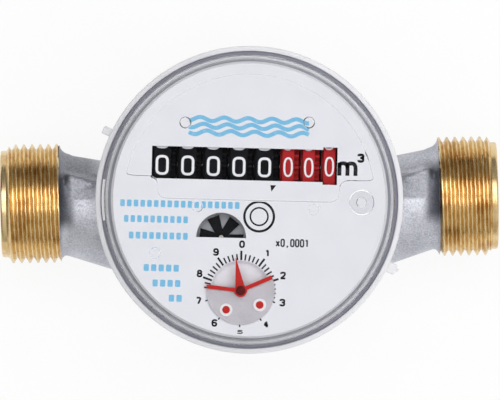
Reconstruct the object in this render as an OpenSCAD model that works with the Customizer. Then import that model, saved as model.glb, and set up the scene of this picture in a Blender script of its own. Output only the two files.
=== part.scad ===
// Domestic single-jet water meter with a dry dial.
// The pipe runs along X, the dial faces +Z, and the origin is under the middle of the foot.

/* [Pipe ends] */
// Length over the two end faces
meter_length = 110; // [108:1:130]
// Height of the pipe axis above the foot
axis_z = 18; // [17:0.5:20]
// Outside diameter of the three-quarter inch pipe thread
thread_d = 26.44; // [26:0.02:27]
// Length of each end, from its face to the thread's shoulder
end_len = 13; // [12:0.5:15]
// Diameter of the plain pilot at each end face
pilot_d = 23.8; // [23:0.1:24.4]
// Length of the plain pilot
pilot_len = 1.3; // [0.8:0.1:2]
// Height of the lead-in cone where the thread starts
lead_in = 0.8; // [0.4:0.1:1.2]
// Diameter of the bore at each end face
pipe_bore_d = 17; // [16:0.5:18]
// Depth of that bore
pipe_bore_len = 10; // [8:0.5:11]
// Diameter of the duct from the bore to the chamber
duct_d = 13.6; // [12:0.2:14]
// Length of the strainer's basket
basket_len = 8; // [5:0.5:10]
// Wall of the strainer's basket
basket_wall = 0.8; // [0.6:0.1:1.2]
// Taper of the strainer's basket, in radius
basket_taper = 1.5; // [0.5:0.1:2]

/* [Necks] */
// Radius of each neck where it leaves the flare
neck_r = 10.9; // [10:0.1:11.5]
// Radius of the hollow flare behind the thread
flare_r = 2.2; // [1.5:0.1:3]
// Angle by which each neck leans forward, so that the jet strikes one side of the impeller
neck_yaw = 14.2; // [10:0.2:18]
// Half angle of the neck's taper
neck_taper = 4; // [2:0.5:5]
// Distance of the pad's step behind the pipe axis, at the flare
pad_depth = 6.7; // [5:0.1:8]
// Angle of the pad's step against the pipe
pad_slope = 16; // [8:1:24]
// Height of the flat pad above the pipe axis
pad_rise = 11; // [10:0.1:11.6]
// Radius of the small cast dot on each pad
dot_r = 0.6; // [0.4:0.1:1]

/* [Body bowl] */
// Radius of the measuring chamber
chamber_r = 19.5; // [18.6:0.1:20]
// Height of the chamber's floor above the foot
chamber_floor = 7; // [5:0.5:8]
// Wall of the bowl around the chamber
bowl_wall = 5; // [4:0.2:6]
// Radius of the machined foot
foot_r = 16; // [12:0.5:18]
// Height of the body's rim above the pipe axis
rim_rise = 17; // [17:0.1:19]
// Depth of the pressure plate's ledge below the rim
ledge_depth = 6.5; // [6:0.1:7]
// Width of that ledge
ledge_w = 5; // [4.5:0.1:5.2]
// Radius of the step above the ledge that the retaining ring screws into, past the plate's edge
mouth_step = 2; // [1.5:0.1:2.5]

/* [Wet side] */
// Number of impeller vanes
vanes = 8; // [6:1:10]
// Thickness of a vane
vane_t = 1.2; // [0.8:0.1:1.6]
// Running gap between vane tips and chamber wall
vane_gap = 2; // [1:0.1:3]
// Radius of the impeller's hub
hub_r = 4.2; // [3.5:0.1:5]
// Radius of the impeller's magnet and of the one that follows it
magnet_r = 7.2; // [6:0.1:8]
// Height of each magnet
magnet_h = 2.8; // [2:0.1:3]
// Radius of the pivot pin under the impeller
pivot_r = 1; // [0.8:0.1:1.4]
// Radius of the jewel that runs on it
jewel_r = 2; // [1.8:0.1:2.4]
// Radius of the hub's core inside the magnet
core_r = 2.2; // [2:0.1:3]
// Radius of the impeller's upper journal
journal_r = 0.8; // [0.6:0.05:1]
// Thickness of the pressure plate
plate_t = 3.5; // [3.2:0.1:3.8]
// Width of the plate's seal
seal_w = 1.5; // [1.2:0.1:2]
// Height of the retaining ring
retaining_h = 2.6; // [2:0.1:2.8]
// Width of the retaining ring
retaining_w = 6.4; // [5:0.1:7]

/* [Clamp ring] */
// Outside radius of the clamp ring
ring_r = 33.8; // [33.4:0.05:35]
// Wall of the clamp ring
ring_wall = 0.7; // [0.6:0.05:1]
// Reach of its upper lip over the register's flange
upper_lip = 0.45; // [0.3:0.05:0.6]
// Thickness of the upper and lower lips
lip_t = 1.5; // [1.2:0.1:2]
// Reach of its lower lip under the body's bead
lower_lip = 2.4; // [1.5:0.1:2.8]
// Height of the body's bead that the ring grips
bead_h = 3.5; // [3:0.1:4]
// Angle of the plain tab on the ring's edge
plain_tab_angle = 153.2; // [140:0.2:165]
// Angle of the stepped tab on the ring's edge
stepped_tab_angle = -26.7; // [-40:0.1:-15]
// Width of the plain tab
plain_tab_w = 1.8; // [1.2:0.1:3]
// Width of the stepped tab
stepped_tab_w = 2.4; // [1.6:0.1:4]
// Reach of both tabs past the ring
tab_reach = 1.9; // [1:0.1:2.4]

/* [Register case] */
// Turn of the register in the ring, as it stands in use
register_turn = -2.4; // [-20:0.1:20]
// Outside radius of the clear hood
cover_r = 31.4; // [31:0.05:31.5]
// Wall of the hood
cover_wall = 1.6; // [1.6:0.1:2.3]
// Thickness of the hood's window
cover_t = 2.1; // [1.5:0.1:3]
// Bevel around the hood's window
cover_bevel = 0.5; // [0.2:0.1:0.8]
// Thickness of the register's flange
flange_t = 1.9; // [1.8:0.1:2.4]
// Thickness of the register's floor
floor_t = 1.7; // [1.5:0.1:2]
// Wall of the register's cup
cup_wall = 1; // [0.8:0.1:1.2]
// Height of the cup's wall above the flange
cup_h = 9; // [6:0.5:12]
// Height of the grey dust seal between hood and ring
dust_seal_h = 1; // [0.6:0.1:1.4]
// Width of the dark seal under the hood's wall
cover_seal_w = 0.6; // [0.4:0.05:0.8]

/* [Dial] */
// Thickness of the dial plate
dial_t = 1.2; // [1:0.1:1.6]
// Space between dial plate and hood, for the pointer
dial_gap = 2; // [1.8:0.1:3]
// Depth of the drums' tops below the dial's face
drum_sink = 0.8; // [0.5:0.1:1]
// Distance of the drums' axis behind the dial's centre
drum_v = 7.4; // [7:0.1:8]
// Front edge of the number window, ahead of the drums' axis
window_front = 3.2; // [2.9:0.1:3.6]
// Back edge of the number window, behind the drums' axis
window_back = 3.8; // [3:0.1:4.2]
// Margin of the number window past the outer digits' drums
window_end = 0.45; // [0.2:0.05:0.8]
// Extra reach of the window in front of and behind the last drum
last_window = 0.55; // [0.2:0.05:0.7]
// Radius of the half-moon window over the star
moon_r = 5.4; // [4:0.1:5.6]
// Radius of the round opening of the pointer's dial
subdial_r = 7.6; // [7:0.1:7.8]
// Reach of the lens pad under the hood, ahead of the drums' axis
lens_front = 7.5; // [5:0.1:8]

/* [Number drums] */
// Radius of the drums
drum_r = 9.3; // [9:0.1:9.6]
// Number of black drums
black_drums = 5; // [4:1:5]
// Spacing of the black drums
black_pitch = 5.545; // [5.4:0.005:5.6]
// Face width of a black drum
black_face = 3.6; // [3.2:0.1:3.7]
// Number of red drums
red_drums = 3; // [2:1:3]
// Spacing of the red drums
red_pitch = 4.46; // [4.3:0.01:4.5]
// Face width of a red drum
red_face = 2.5; // [2.2:0.1:2.6]
// Place of the first black drum's middle along the number row
first_black = -19.05; // [-19.2:0.05:-18]
// Step from the last black drum's middle to the first red one's
red_step = 5.11; // [5:0.01:5.4]
// Radius of the shaft that carries the drums
roller_shaft_r = 1; // [0.8:0.05:1.2]
// Radius of the shaft that carries the transfer pinions
pinion_shaft_r = 0.6; // [0.5:0.05:0.7]
// Direction of the transfer pinions from the drums' axis, below the level
pinion_dip = 62; // [60:0.5:64]

/* [Gear train] */
// Thickness of the gears
gear_t = 0.8; // [0.6:0.1:0.9]
// Clear height between gear levels
level_gap = 0.3; // [0.2:0.05:0.4]
// Radius of the gear arbors
arbor_r = 0.5; // [0.4:0.05:0.6]
// Thickness of the gear plate
gear_plate_t = 0.7; // [0.5:0.1:0.7]
// Module of the first pair, spindle to star
first_module = 0.4; // [0.39:0.005:0.41]
// Teeth of the spindle's pinion
spindle_teeth = 9; // [8:1:10]
// Teeth of the star's wheel
star_teeth = 42; // [40:1:43]
// Direction of the star from the spindle
star_bearing = 234.7; // [230:0.1:240]
// Module of the second stage, star to pointer
second_module = 0.3; // [0.29:0.005:0.3]
// Teeth of the star's pinion
star_pinion_teeth = 8; // [8:1:9]
// Teeth of the small idler
small_idler_teeth = 16; // [16:1:18]
// Teeth of the pointer's wheel
pointer_teeth = 46; // [42:1:46]
// Distance from star to pointer
pointer_reach = 12.2; // [12:0.05:12.3]
// Direction of the pointer from the star
pointer_bearing = -68.5; // [-70:0.1:-67]
// Module of the third stage, pointer to drums
third_module = 0.25; // [0.245:0.005:0.25]
// Teeth of the pointer's pinion
pointer_pinion_teeth = 10; // [10:1:11]
// Teeth of each large idler
idler_teeth = 60; // [60:1:61]
// Direction of the first large idler from the pointer
idler_bearing = 45; // [43:0.5:47]
// Teeth of the drum drive's wheel
drive_teeth = 40; // [38:1:40]
// Module of the crown on the last drum
crown_module = 0.4; // [0.38:0.01:0.42]
// Teeth of the drum drive's pinion
drive_pinion_teeth = 8; // [8:1:9]
// Teeth of the crown
crown_teeth = 20; // [18:1:22]
// Module of the drums' transfer gears
drum_module = 0.75; // [0.74:0.01:0.76]
// Teeth of a drum's transfer gear
drum_teeth = 20; // [20:1:20]
// Teeth of a transfer pinion
transfer_teeth = 8; // [8:1:8]

/* [Clearances] */
// Radial gap of a shaft in its bearing
run_gap = 0.05; // [0.02:0.01:0.08]
// Radial gap of a piece that is pressed or glued in place
seat_gap = 0.02; // [0.01:0.01:0.04]
// Gap that lets the register turn in the ring
swivel_gap = 0.1; // [0.06:0.02:0.14]
// Side gap between drums, pinions and frame
side_gap = 0.15; // [0.1:0.01:0.18]

/* [Hidden] */
$fn = 72;
drum_count = black_drums + red_drums;

edge = 0.3;
gear_tip = 0.85;
gear_root = 1.15;
grip_r = ring_r - ring_wall;
lip_in_r = grip_r - upper_lip;
lower_in_r = grip_r - lower_lip;
cover_in_r = cover_r - cover_wall;
dial_r = cover_in_r - edge;
cup_in_r = dial_r - cup_wall;

thread_r = thread_d / 2;
pilot_r = pilot_d / 2;
bore_r = pipe_bore_d / 2;
duct_r = duct_d / 2;
seat_step = 0.5;
strainer_r = bore_r - seat_step;
strainer_t = 1.2;
end_x = meter_length / 2;
neck_x = end_x - end_len - edge;
bowl_r = chamber_r + bowl_wall;
neck_reach = (neck_x - chamber_r + ledge_w / 2) / cos(neck_yaw);

rim_z = axis_z + rim_rise;
ledge_z = rim_z - ledge_depth;
ledge_r = chamber_r + ledge_w;
mouth_r = ledge_r + mouth_step;
plate_top = ledge_z + plate_t;
seal_h = 1.4;
seal_r = chamber_r + seal_w;
plate_r = ledge_r - swivel_gap;
recess_depth = 1.1;
boss_h = 1.5;
boss_r = 3.2;
bush_r = 1.6;
bush_h = 2.2;
bush_z = ledge_z - boss_h + edge;

bead_r = grip_r - seat_gap - swivel_gap;
groove_r = lower_in_r - swivel_gap * 2;
ring_low = rim_z - bead_h - swivel_gap - lip_t;
tab_low = rim_z - bead_h;
tab_h = bead_h + flange_t;

base_z = rim_z + swivel_gap;
flange_z = base_z + flange_t;
floor_z = base_z + floor_t;
ring_top = flange_z + swivel_gap + lip_t;
pocket_r = magnet_r + 1.8;
pocket_wall = 1;
pocket_z = plate_top - recess_depth + 0.5;
cup_z = flange_z + cup_h;
cover_seal_r = (cover_in_r + cover_r) / 2;
cover_seal_h = 0.8;

frame_bar_t = 0.9;
frame_plate_t = 1;
frame_bar_z = level(3);
drum_gap = 0.4;
transfer_distance = drum_module * (drum_teeth + transfer_teeth) / 2;
pinion_tip = drum_module * (transfer_teeth / 2 + gear_tip);
drum_z = max(
    frame_bar_z + frame_bar_t + drum_gap + drum_r,
    level(0) + gear_t + side_gap + pinion_tip + transfer_distance * sin(pinion_dip)
);
dial_top = drum_z + drum_r + drum_sink;
dial_z = dial_top - dial_t;
cover_z = dial_top + dial_gap;
cover_top = cover_z + cover_t;

gear_plate_z = level(3) - 0.1;
gear_plate_edge = 1.5;
gear_plate_r = cup_in_r - 0.5;
pivot_depth = 0.9;
arbor_z = floor_z - pivot_depth + 0.1;
arbor_top = gear_plate_z + gear_plate_t + edge;
post_r = 1.2;
stake_r = 0.8;
post_places = [polar(cup_in_r - 9, 198.4), polar(cup_in_r - 3, -75), polar(cup_in_r - 2.4, -31.4)];

web_t = 1;
mesh_space = 0.445;
frame_front = 2.9;
frame_back = 1.3;
carry_w = 0.5;
drum_hub_r = 2.4;
drum_rim_t = 1.2;
pinion_v = drum_v + transfer_distance * cos(pinion_dip);
pinion_z = drum_z - transfer_distance * sin(pinion_dip);
pinion_angle = 90 - pinion_dip;
gear_bore_r = drum_module * (drum_teeth / 2 - gear_root) - 0.94;
carry_r = transfer_distance - drum_module * (transfer_teeth / 2 + 1) - 0.2;

crown_h = 0.8;
crown_r = crown_module * crown_teeth / 2;
crown_w = 1;
crown_bar = 0.36;
crown_u = drum_right(drum_count) + crown_h * 0.55;
drive_pinion_h = 0.7;

star_at = polar(first_module * (spindle_teeth + star_teeth) / 2, star_bearing);
pointer_at = star_at + polar(pointer_reach, pointer_bearing);
small_idler_at = meet(
    star_at, second_module * (star_pinion_teeth + small_idler_teeth) / 2,
    pointer_at, second_module * (small_idler_teeth + pointer_teeth) / 2
);
drive_at = [crown_u + crown_module * drive_pinion_teeth / 2, drum_v];
idler_a_at = pointer_at + polar(third_module * (pointer_pinion_teeth + idler_teeth) / 2, idler_bearing);
idler_b_at = meet(
    idler_a_at, third_module * idler_teeth,
    drive_at, third_module * (idler_teeth + drive_teeth) / 2
);
left_plate_u = drum_left(1) - carry_w - side_gap * 2 - frame_plate_t;
right_plate_u = drive_at[0] + crown_module * (drive_pinion_teeth / 2 + 1) + edge;
ear_u = drum_right(drum_count) + 0.4;
bar_front = drum_v - frame_front;
bar_back = drum_v + 0.9;

star_phase = mesh_phase(0, spindle_teeth, star_teeth, star_bearing);
small_idler_phase = mesh_phase(0, star_pinion_teeth, small_idler_teeth, bearing(star_at, small_idler_at));
pointer_phase = mesh_phase(
    small_idler_phase, small_idler_teeth, pointer_teeth, bearing(small_idler_at, pointer_at)
);
idler_a_phase = mesh_phase(0, pointer_pinion_teeth, idler_teeth, idler_bearing);
idler_b_phase = mesh_phase(idler_a_phase, idler_teeth, idler_teeth, bearing(idler_a_at, idler_b_at));
drive_phase = mesh_phase(idler_b_phase, idler_teeth, drive_teeth, bearing(idler_b_at, drive_at));

disc_z = dial_z - 3.1;
disc_t = 0.4;
star_t = 0.5;
recess_t = 0.6;
carrier_z = dial_top - 0.25;
carrier_t = 0.4;
plate_gap = 0.05;
modulator_t = 0.3;
pointer_t = 0.6;
modulator_z = carrier_z + carrier_t + plate_gap;
pointer_z = modulator_z + modulator_t + plate_gap;
pointer_hub_r = 1.4;
rivet_r = 0.8;
rivet_reach = subdial_r - 2.4;
carrier_r = rivet_reach + rivet_r + edge / 2;
recess_r = carrier_r + edge;
arrow_turn = 99.5;
arm_spread = 75;

// Places and meshing

function polar(r, a) = [r * cos(a), r * sin(a)];
function bearing(p, q) = atan2(q[1] - p[1], q[0] - p[0]);

// Bottom of a gear level above the register's floor
function level(i) = floor_z + level_gap + i * (gear_t + level_gap);

// The point at distance rp from p and rq from q, on the right of the way from p to q
function meet(p, rp, q, rq) =
    let (d = norm(q - p), e = (q - p) / d)
    let (a = (rp * rp - rq * rq + d * d) / (2 * d), h = sqrt(max(0, rp * rp - a * a)))
    p + a * e + h * [e[1], -e[0]];

// Turn of a gear whose gap meets the tooth of the gear that drives it
function mesh_phase(phase, teeth, next_teeth, direction) =
    direction + 180 + 360 / next_teeth * (0.5 - (phase - direction) * teeth / 360);

function drum_middle(i) = i <= black_drums
    ? first_black + (i - 1) * black_pitch
    : first_black + (black_drums - 1) * black_pitch + red_step + (i - black_drums - 1) * red_pitch;
function drum_face(i) = i <= black_drums ? black_face : red_face;
function drum_left(i) = drum_middle(i) - drum_face(i) / 2;
function drum_right(i) = drum_middle(i) + drum_face(i) / 2;

// Width of a drum's transfer gear, in what its neighbour's carry disc leaves free
function gear_width(i) = drum_left(i + 1) - drum_right(i) - carry_w - mesh_space;

// Outline of a spur gear with straight-sided teeth
function gear_outline(mod, teeth, phase) = [
    for (i = [0:teeth - 1])
        for (c = [[-0.3, -gear_root], [-0.1, gear_tip], [0.1, gear_tip], [0.3, -gear_root]])
            polar(mod * (teeth / 2 + c[1]), phase + 360 / teeth * (i + c[0]))
];

module spur(mod, teeth, phase, z, h) {
    translate([0, 0, z])
        linear_extrude(height = h)
            polygon(gear_outline(mod, teeth, phase));
}

module rod(r, low, high) {
    translate([0, 0, low])
        cylinder(h = high - low, r = r);
}

// A block given by its lowest and highest corners
module block(low, high) {
    translate(low)
        cube(high - low);
}

module at(place) {
    translate([place[0], place[1], 0])
        children();
}

module in_register() {
    rotate([0, 0, register_turn])
        children();
}

// Along the number row, with the local axis pointing right
module along_row(u, v, z) {
    translate([u, v, z])
        rotate([0, 90, 0])
            children();
}

// Casing

module end_fitting(side) {
    arc_steps = 6;
    flare = [
        for (i = [0:arc_steps])
            [neck_r + flare_r, end_len + flare_r] + polar(flare_r, 270 - 90 * i / arc_steps)
    ];
    outline = concat(
        [[0, 0], [pilot_r - edge, 0], [pilot_r, edge], [pilot_r, pilot_len]],
        [[thread_r - lead_in, pilot_len], [thread_r, pilot_len + lead_in], [thread_r, end_len]],
        flare,
        [[neck_r - 1.2, end_len + flare_r + 1.5], [0, end_len + flare_r + 1.5]]
    );
    translate([side * end_x, 0, axis_z])
        rotate([0, -side * 90, 0])
            rotate_extrude()
                polygon(outline);
}

module toward_chamber(side) {
    translate([side * neck_x, 0, axis_z])
        rotate([0, 0, side > 0 ? 180 + neck_yaw : -neck_yaw])
            rotate([0, 90, 0])
                children();
}

module neck(side) {
    toward_chamber(side)
        cylinder(h = neck_reach, r1 = neck_r - 0.1, r2 = neck_r - 0.1 + neck_reach * tan(neck_taper));
}

module pad(side) {
    pad_front = 0.6;
    outer = neck_x - 1.5;
    inner = lower_in_r - 1;
    drop = (outer - inner) * tan(pad_slope);
    outline = [
        [side * outer, pad_front], [side * inner, pad_front],
        [side * inner, pad_depth - drop], [side * outer, pad_depth]
    ];
    dot_at = [side * (ring_r + 1.3), pad_depth - (outer - ring_r - 1.3) * tan(pad_slope) - 1.3];
    translate([0, 0, axis_z])
        linear_extrude(height = pad_rise)
            polygon(outline);
    at(dot_at)
        rod(dot_r, axis_z + pad_rise - edge, axis_z + pad_rise + edge);
}

module bowl() {
    skirt = 3;
    flare_low = ring_low - (groove_r - bowl_r) - 1.5;
    rotate_extrude()
        polygon([
            [0, 0], [foot_r, 0], [foot_r, 1], [bowl_r - skirt, skirt], [bowl_r, skirt * 2],
            [bowl_r, flare_low], [groove_r, ring_low - 1.5], [groove_r, rim_z - bead_h],
            [bead_r - edge, rim_z - bead_h], [bead_r, rim_z - bead_h + edge],
            [bead_r, rim_z - edge], [bead_r - edge, rim_z], [0, rim_z]
        ]);
}

module chamber_space() {
    above = 1;
    rotate_extrude()
        polygon([
            [0, chamber_floor], [chamber_r, chamber_floor], [chamber_r, ledge_z], [ledge_r, ledge_z],
            [ledge_r, plate_top], [mouth_r, plate_top], [mouth_r, rim_z + above], [0, rim_z + above]
        ]);
    translate([0, 0, ledge_z - seal_h])
        rotate_extrude()
            translate([seal_r, 0])
                square([seal_w, seal_h + edge]);
    rod(pivot_r + seat_gap, chamber_floor - pivot_hold(), chamber_floor + edge);
}

function pivot_hold() = chamber_floor / 2;

module water_way(side) {
    overrun = 1.5;
    along_pipe(side, -1, pipe_bore_len)
        cylinder(h = pipe_bore_len + 1, r = bore_r);
    along_pipe(side, pipe_bore_len - 1, end_len + overrun)
        cylinder(h = end_len + overrun - pipe_bore_len + 1, r = duct_r + 0.2);
    toward_chamber(side)
        translate([0, 0, -1])
            cylinder(h = neck_reach + 1, r = duct_r);
}

module along_pipe(side, start, stop) {
    translate([side * (end_x - start), 0, axis_z])
        rotate([0, -side * 90, 0])
            children();
}

module meter_body() {
    color("silver")
        difference() {
            union() {
                bowl();
                for (side = [-1, 1]) {
                    end_fitting(side);
                    neck(side);
                    pad(side);
                }
            }
            chamber_space();
            for (side = [-1, 1])
                water_way(side);
            along_pipe(-1, pipe_bore_len - 0.1, 0)
                cylinder(h = strainer_t + 0.1, r = strainer_r);
        }
}

module inlet_strainer() {
    basket = basket_len;
    wall = basket_wall;
    wide = duct_r - seat_step;
    narrow = wide - basket_taper;
    slots = 8;
    color("whitesmoke")
        along_pipe(-1, pipe_bore_len, 0)
            difference() {
                rotate_extrude()
                    polygon([
                        [wide - wall, 0], [strainer_r - seat_gap, 0], [strainer_r - seat_gap, strainer_t],
                        [wide, strainer_t], [narrow, basket], [0, basket], [0, basket - wall],
                        [narrow - wall, basket - wall], [wide - wall, strainer_t]
                    ]);
                for (i = [0:slots - 1])
                    rotate([0, 0, i * 360 / slots])
                        translate([1.2, -0.5, strainer_t + 1])
                            cube([duct_r, 1, basket - wall - strainer_t - 2]);
            }
}

module impeller_pivot() {
    color("gray")
        rotate_extrude()
            polygon([
                [0, chamber_floor - pivot_hold()], [pivot_r, chamber_floor - pivot_hold()],
                [pivot_r, pivot_top() - pivot_r / 2], [pivot_r / 2, pivot_top()], [0, pivot_top()]
            ]);
}

function pivot_top() = chamber_floor + 2.6;
function jewel_z() = pivot_top() + 0.1;
function vane_z() = chamber_floor + 3;
function magnet_z() = ledge_z - boss_h - 1 - magnet_h;

module pressure_plate() {
    color("lightgray")
        rotate_extrude()
            polygon([
                [bush_r + seat_gap, ledge_z - boss_h], [boss_r, ledge_z - boss_h], [boss_r, ledge_z],
                [plate_r, ledge_z], [plate_r, plate_top], [pocket_r + pocket_wall + 1, plate_top],
                [pocket_r + pocket_wall + 1, plate_top - recess_depth], [0, plate_top - recess_depth],
                [0, bush_z + bush_h], [bush_r + seat_gap, bush_z + bush_h]
            ]);
}

module pressure_plate_seal() {
    color("dimgray")
        translate([0, 0, ledge_z - seal_h])
            rotate_extrude()
                translate([seal_r + seat_gap, 0])
                    square([seal_w - 2 * seat_gap, seal_h]);
}

module retaining_ring() {
    notches = 4;
    notch_w = 3;
    color("goldenrod")
        difference() {
            translate([0, 0, plate_top])
                rotate_extrude()
                    translate([mouth_r - swivel_gap - retaining_w, 0])
                        square([retaining_w, retaining_h]);
            for (i = [0:notches - 1])
                rotate([0, 0, 45 + i * 360 / notches])
                    translate([mouth_r - retaining_w - 1, -notch_w / 2, plate_top + retaining_h / 2])
                        cube([retaining_w / 2 + 1, notch_w, retaining_h]);
        }
}

module upper_bearing() {
    color("white")
        translate([0, 0, bush_z])
            rotate_extrude()
                translate([journal_r + run_gap, 0])
                    square([bush_r - journal_r - run_gap, bush_h]);
}

module clamp_ring() {
    spur_w = 0.7;
    spur_reach = 0.6;
    color("white") {
        rotate_extrude()
            polygon([
                [lower_in_r, ring_low], [ring_r - edge, ring_low], [ring_r, ring_low + edge],
                [ring_r, ring_top - edge], [ring_r - edge, ring_top], [lip_in_r, ring_top],
                [lip_in_r, ring_top - lip_t], [grip_r, ring_top - lip_t],
                [grip_r, ring_low + lip_t], [lower_in_r, ring_low + lip_t]
            ]);
        rotate([0, 0, plain_tab_angle])
            translate([ring_r - edge, -plain_tab_w / 2, tab_low])
                cube([tab_reach + edge, plain_tab_w, tab_h]);
        rotate([0, 0, stepped_tab_angle]) {
            translate([ring_r - edge, -stepped_tab_w / 2, tab_low])
                cube([tab_reach + edge, stepped_tab_w, tab_h]);
            translate([ring_r, stepped_tab_w / 2 - 2 * spur_w, tab_low])
                cube([tab_reach + spur_reach, spur_w, tab_h]);
        }
    }
}

// Impeller

module impeller() {
    vane_r = chamber_r - vane_gap;
    shroud_t = 1;
    vane_top = magnet_z() - shroud_t;
    color("gainsboro")
        difference() {
            union() {
                rod(hub_r, pivot_top() - 1, magnet_z());
                rod(magnet_r + 1, vane_top, magnet_z());
                rod(core_r, magnet_z() - edge, magnet_z() + magnet_h + edge);
                rod(journal_r, magnet_z(), bush_z + bush_h - 0.4);
                for (i = [0:vanes - 1])
                    rotate([0, 0, i * 360 / vanes])
                        block([0, -vane_t / 2, vane_z()], [vane_r, vane_t / 2, vane_top + edge]);
            }
            rod(jewel_r, chamber_floor, jewel_z() + jewel_h());
        }
}

function jewel_h() = 1.5;

module impeller_magnet() {
    color("darkslategray")
        translate([0, 0, magnet_z()])
            rotate_extrude()
                translate([core_r + seat_gap, 0])
                    square([magnet_r - core_r - seat_gap, magnet_h]);
}

module pivot_jewel() {
    color("crimson")
        rod(jewel_r - seat_gap, jewel_z(), jewel_z() + jewel_h());
}

// Register case

module register_base() {
    groove_in = cover_seal_r - cover_seal_w / 2;
    groove_out = cover_seal_r + cover_seal_w / 2;
    pocket_floor = pocket_z + 1.2;
    color("white")
        in_register()
            difference() {
                union() {
                    rotate_extrude()
                        polygon([
                            [0, pocket_z], [pocket_r + pocket_wall, pocket_z], [pocket_r + pocket_wall, base_z],
                            [bead_r, base_z], [bead_r, flange_z], [groove_out, flange_z],
                            [groove_out, flange_z - cover_seal_h], [groove_in, flange_z - cover_seal_h],
                            [groove_in, flange_z], [dial_r, flange_z], [dial_r, cup_z], [cup_in_r, cup_z],
                            [cup_in_r, floor_z], [pocket_r, floor_z], [pocket_r, pocket_floor], [0, pocket_floor]
                        ]);
                    for (place = post_places)
                        at(place) {
                            rod(post_r, floor_z - edge, gear_plate_z);
                            rod(stake_r, gear_plate_z - edge, gear_plate_z + gear_plate_t + 0.4);
                        }
                }
                for (place = [star_at, small_idler_at, pointer_at, idler_a_at, idler_b_at, drive_at])
                    at(place)
                        rod(arbor_r + run_gap, floor_z - pivot_depth, floor_z + edge);
                rod(arbor_r + run_gap, pocket_floor - 0.7, pocket_floor + edge);
            }
}

module register_cover() {
    boss_at = [cover_in_r - 5.5, 0];
    boss_out = 2.67;
    boss_in = 1.4;
    lens_back = window_back + 0.8;
    lens_t = 1.1;
    lens_left = drum_left(1) + 1.2;
    lens_right = drum_right(drum_count) + 0.8;
    fillet = 0.6;
    key_w = 4;
    key_depth = 0.8;
    key_turn = 78 - register_turn;
    color("azure", 0.4)
        in_register()
            difference() {
                union() {
                    rotate_extrude()
                        polygon([
                            [cover_in_r, flange_z + seat_gap], [cover_r, flange_z + seat_gap],
                            [cover_r, cover_top - cover_bevel], [cover_r - cover_bevel, cover_top],
                            [0, cover_top], [0, cover_z], [cover_in_r - fillet, cover_z],
                            [cover_in_r, cover_z - fillet]
                        ]);
                    block(
                        [lens_left, drum_v - lens_front, cover_z - lens_t],
                        [lens_right, drum_v + lens_back, cover_z + edge]
                    );
                    at(boss_at)
                        rod(boss_out, dial_top + 0.2, cover_z + edge);
                }
                at(boss_at)
                    rod(boss_in, dial_top, cover_z);
                rotate([0, 0, key_turn])
                    block(
                        [cover_r - key_depth, -key_w / 2, cover_top - 2 * key_depth],
                        [cover_r + 1, key_w / 2, cover_top + 1]
                    );
            }
}

module cover_seal() {
    color("black")
        translate([0, 0, flange_z - cover_seal_h])
            rotate_extrude()
                translate([cover_seal_r - cover_seal_w / 2 + seat_gap, 0])
                    square([cover_seal_w - 2 * seat_gap, cover_seal_h]);
}

module dust_seal() {
    slit_angle = 17;
    slit_turn = 180 - slit_angle / 2 - register_turn - 1;
    slit_depth = 0.4;
    color("slategray")
        in_register()
            difference() {
                translate([0, 0, flange_z])
                    rotate_extrude()
                        translate([cover_r + swivel_gap, 0])
                            square([lip_in_r - cover_r - 2 * swivel_gap, dust_seal_h]);
                translate([0, 0, flange_z - edge])
                    rotate([0, 0, slit_turn])
                        rotate_extrude(angle = slit_angle)
                            translate([cover_r - slit_depth, 0])
                                square([2 * slit_depth + swivel_gap, dust_seal_h + 2 * edge]);
            }
}

// Dial

module dial_plate() {
    recess_wall = 0.6;
    recess_floor = dial_z - recess_t;
    window_left = drum_left(1) - window_end;
    window_right = drum_right(drum_count) + window_end;
    color("white")
        in_register()
            difference() {
                union() {
                    rotate_extrude()
                        polygon([
                            [0, dial_z], [cup_in_r, dial_z], [cup_in_r, cup_z], [dial_r, cup_z],
                            [dial_r, dial_top], [0, dial_top]
                        ]);
                    at(pointer_at)
                        rod(recess_r + recess_wall, recess_floor - recess_t, dial_z + edge);
                }
                block(
                    [window_left, drum_v - window_front, dial_z - 1],
                    [window_right, drum_v + window_back, dial_top + 1]
                );
                block(
                    [drum_left(drum_count) - side_gap, drum_v - window_front - last_window, dial_z - 1],
                    [window_right, drum_v + window_back + last_window, dial_top + 1]
                );
                intersection() {
                    at(star_at)
                        rod(moon_r, dial_z - 1, dial_top + 1);
                    block(
                        [star_at[0] - 2 * moon_r, star_at[1], dial_z - 2],
                        [star_at[0] + 2 * moon_r, star_at[1] + 2 * moon_r, dial_top + 2]
                    );
                }
                at(pointer_at) {
                    rod(recess_r, recess_floor, dial_top + 1);
                    rod(2 * arbor_r, recess_floor - recess_t - 1, dial_top + 1);
                }
            }
}

// Number drums

module roller_frame() {
    side_top = drum_z + 3;
    ear_top = pinion_z + 1.7;
    ear_back = pinion_v + 2.9;
    leg = 2;
    color("whitesmoke")
        in_register()
            difference() {
                union() {
                    block(
                        [left_plate_u, bar_front, frame_bar_z],
                        [right_plate_u + frame_plate_t, bar_back, frame_bar_z + frame_bar_t]
                    );
                    block(
                        [left_plate_u, bar_front, floor_z],
                        [left_plate_u + frame_plate_t, pinion_v + frame_back, side_top]
                    );
                    block(
                        [right_plate_u, bar_front, frame_bar_z],
                        [right_plate_u + frame_plate_t, drum_v + frame_front, side_top]
                    );
                    block([ear_u, bar_front, frame_bar_z], [ear_u + frame_plate_t, ear_back, ear_top]);
                    block([ear_u, ear_back - leg, floor_z], [ear_u + frame_plate_t, ear_back, ear_top]);
                }
                along_row(left_plate_u - 1, drum_v, drum_z)
                    rod(roller_shaft_r + seat_gap, 0, right_plate_u - left_plate_u + frame_plate_t + 2);
                along_row(left_plate_u - 1, pinion_v, pinion_z)
                    rod(pinion_shaft_r + seat_gap, 0, ear_u - left_plate_u + frame_plate_t + 2);
                at(drive_at)
                    rod(arbor_r + run_gap, frame_bar_z - 1, frame_bar_z + frame_bar_t + 1);
            }
}

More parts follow.
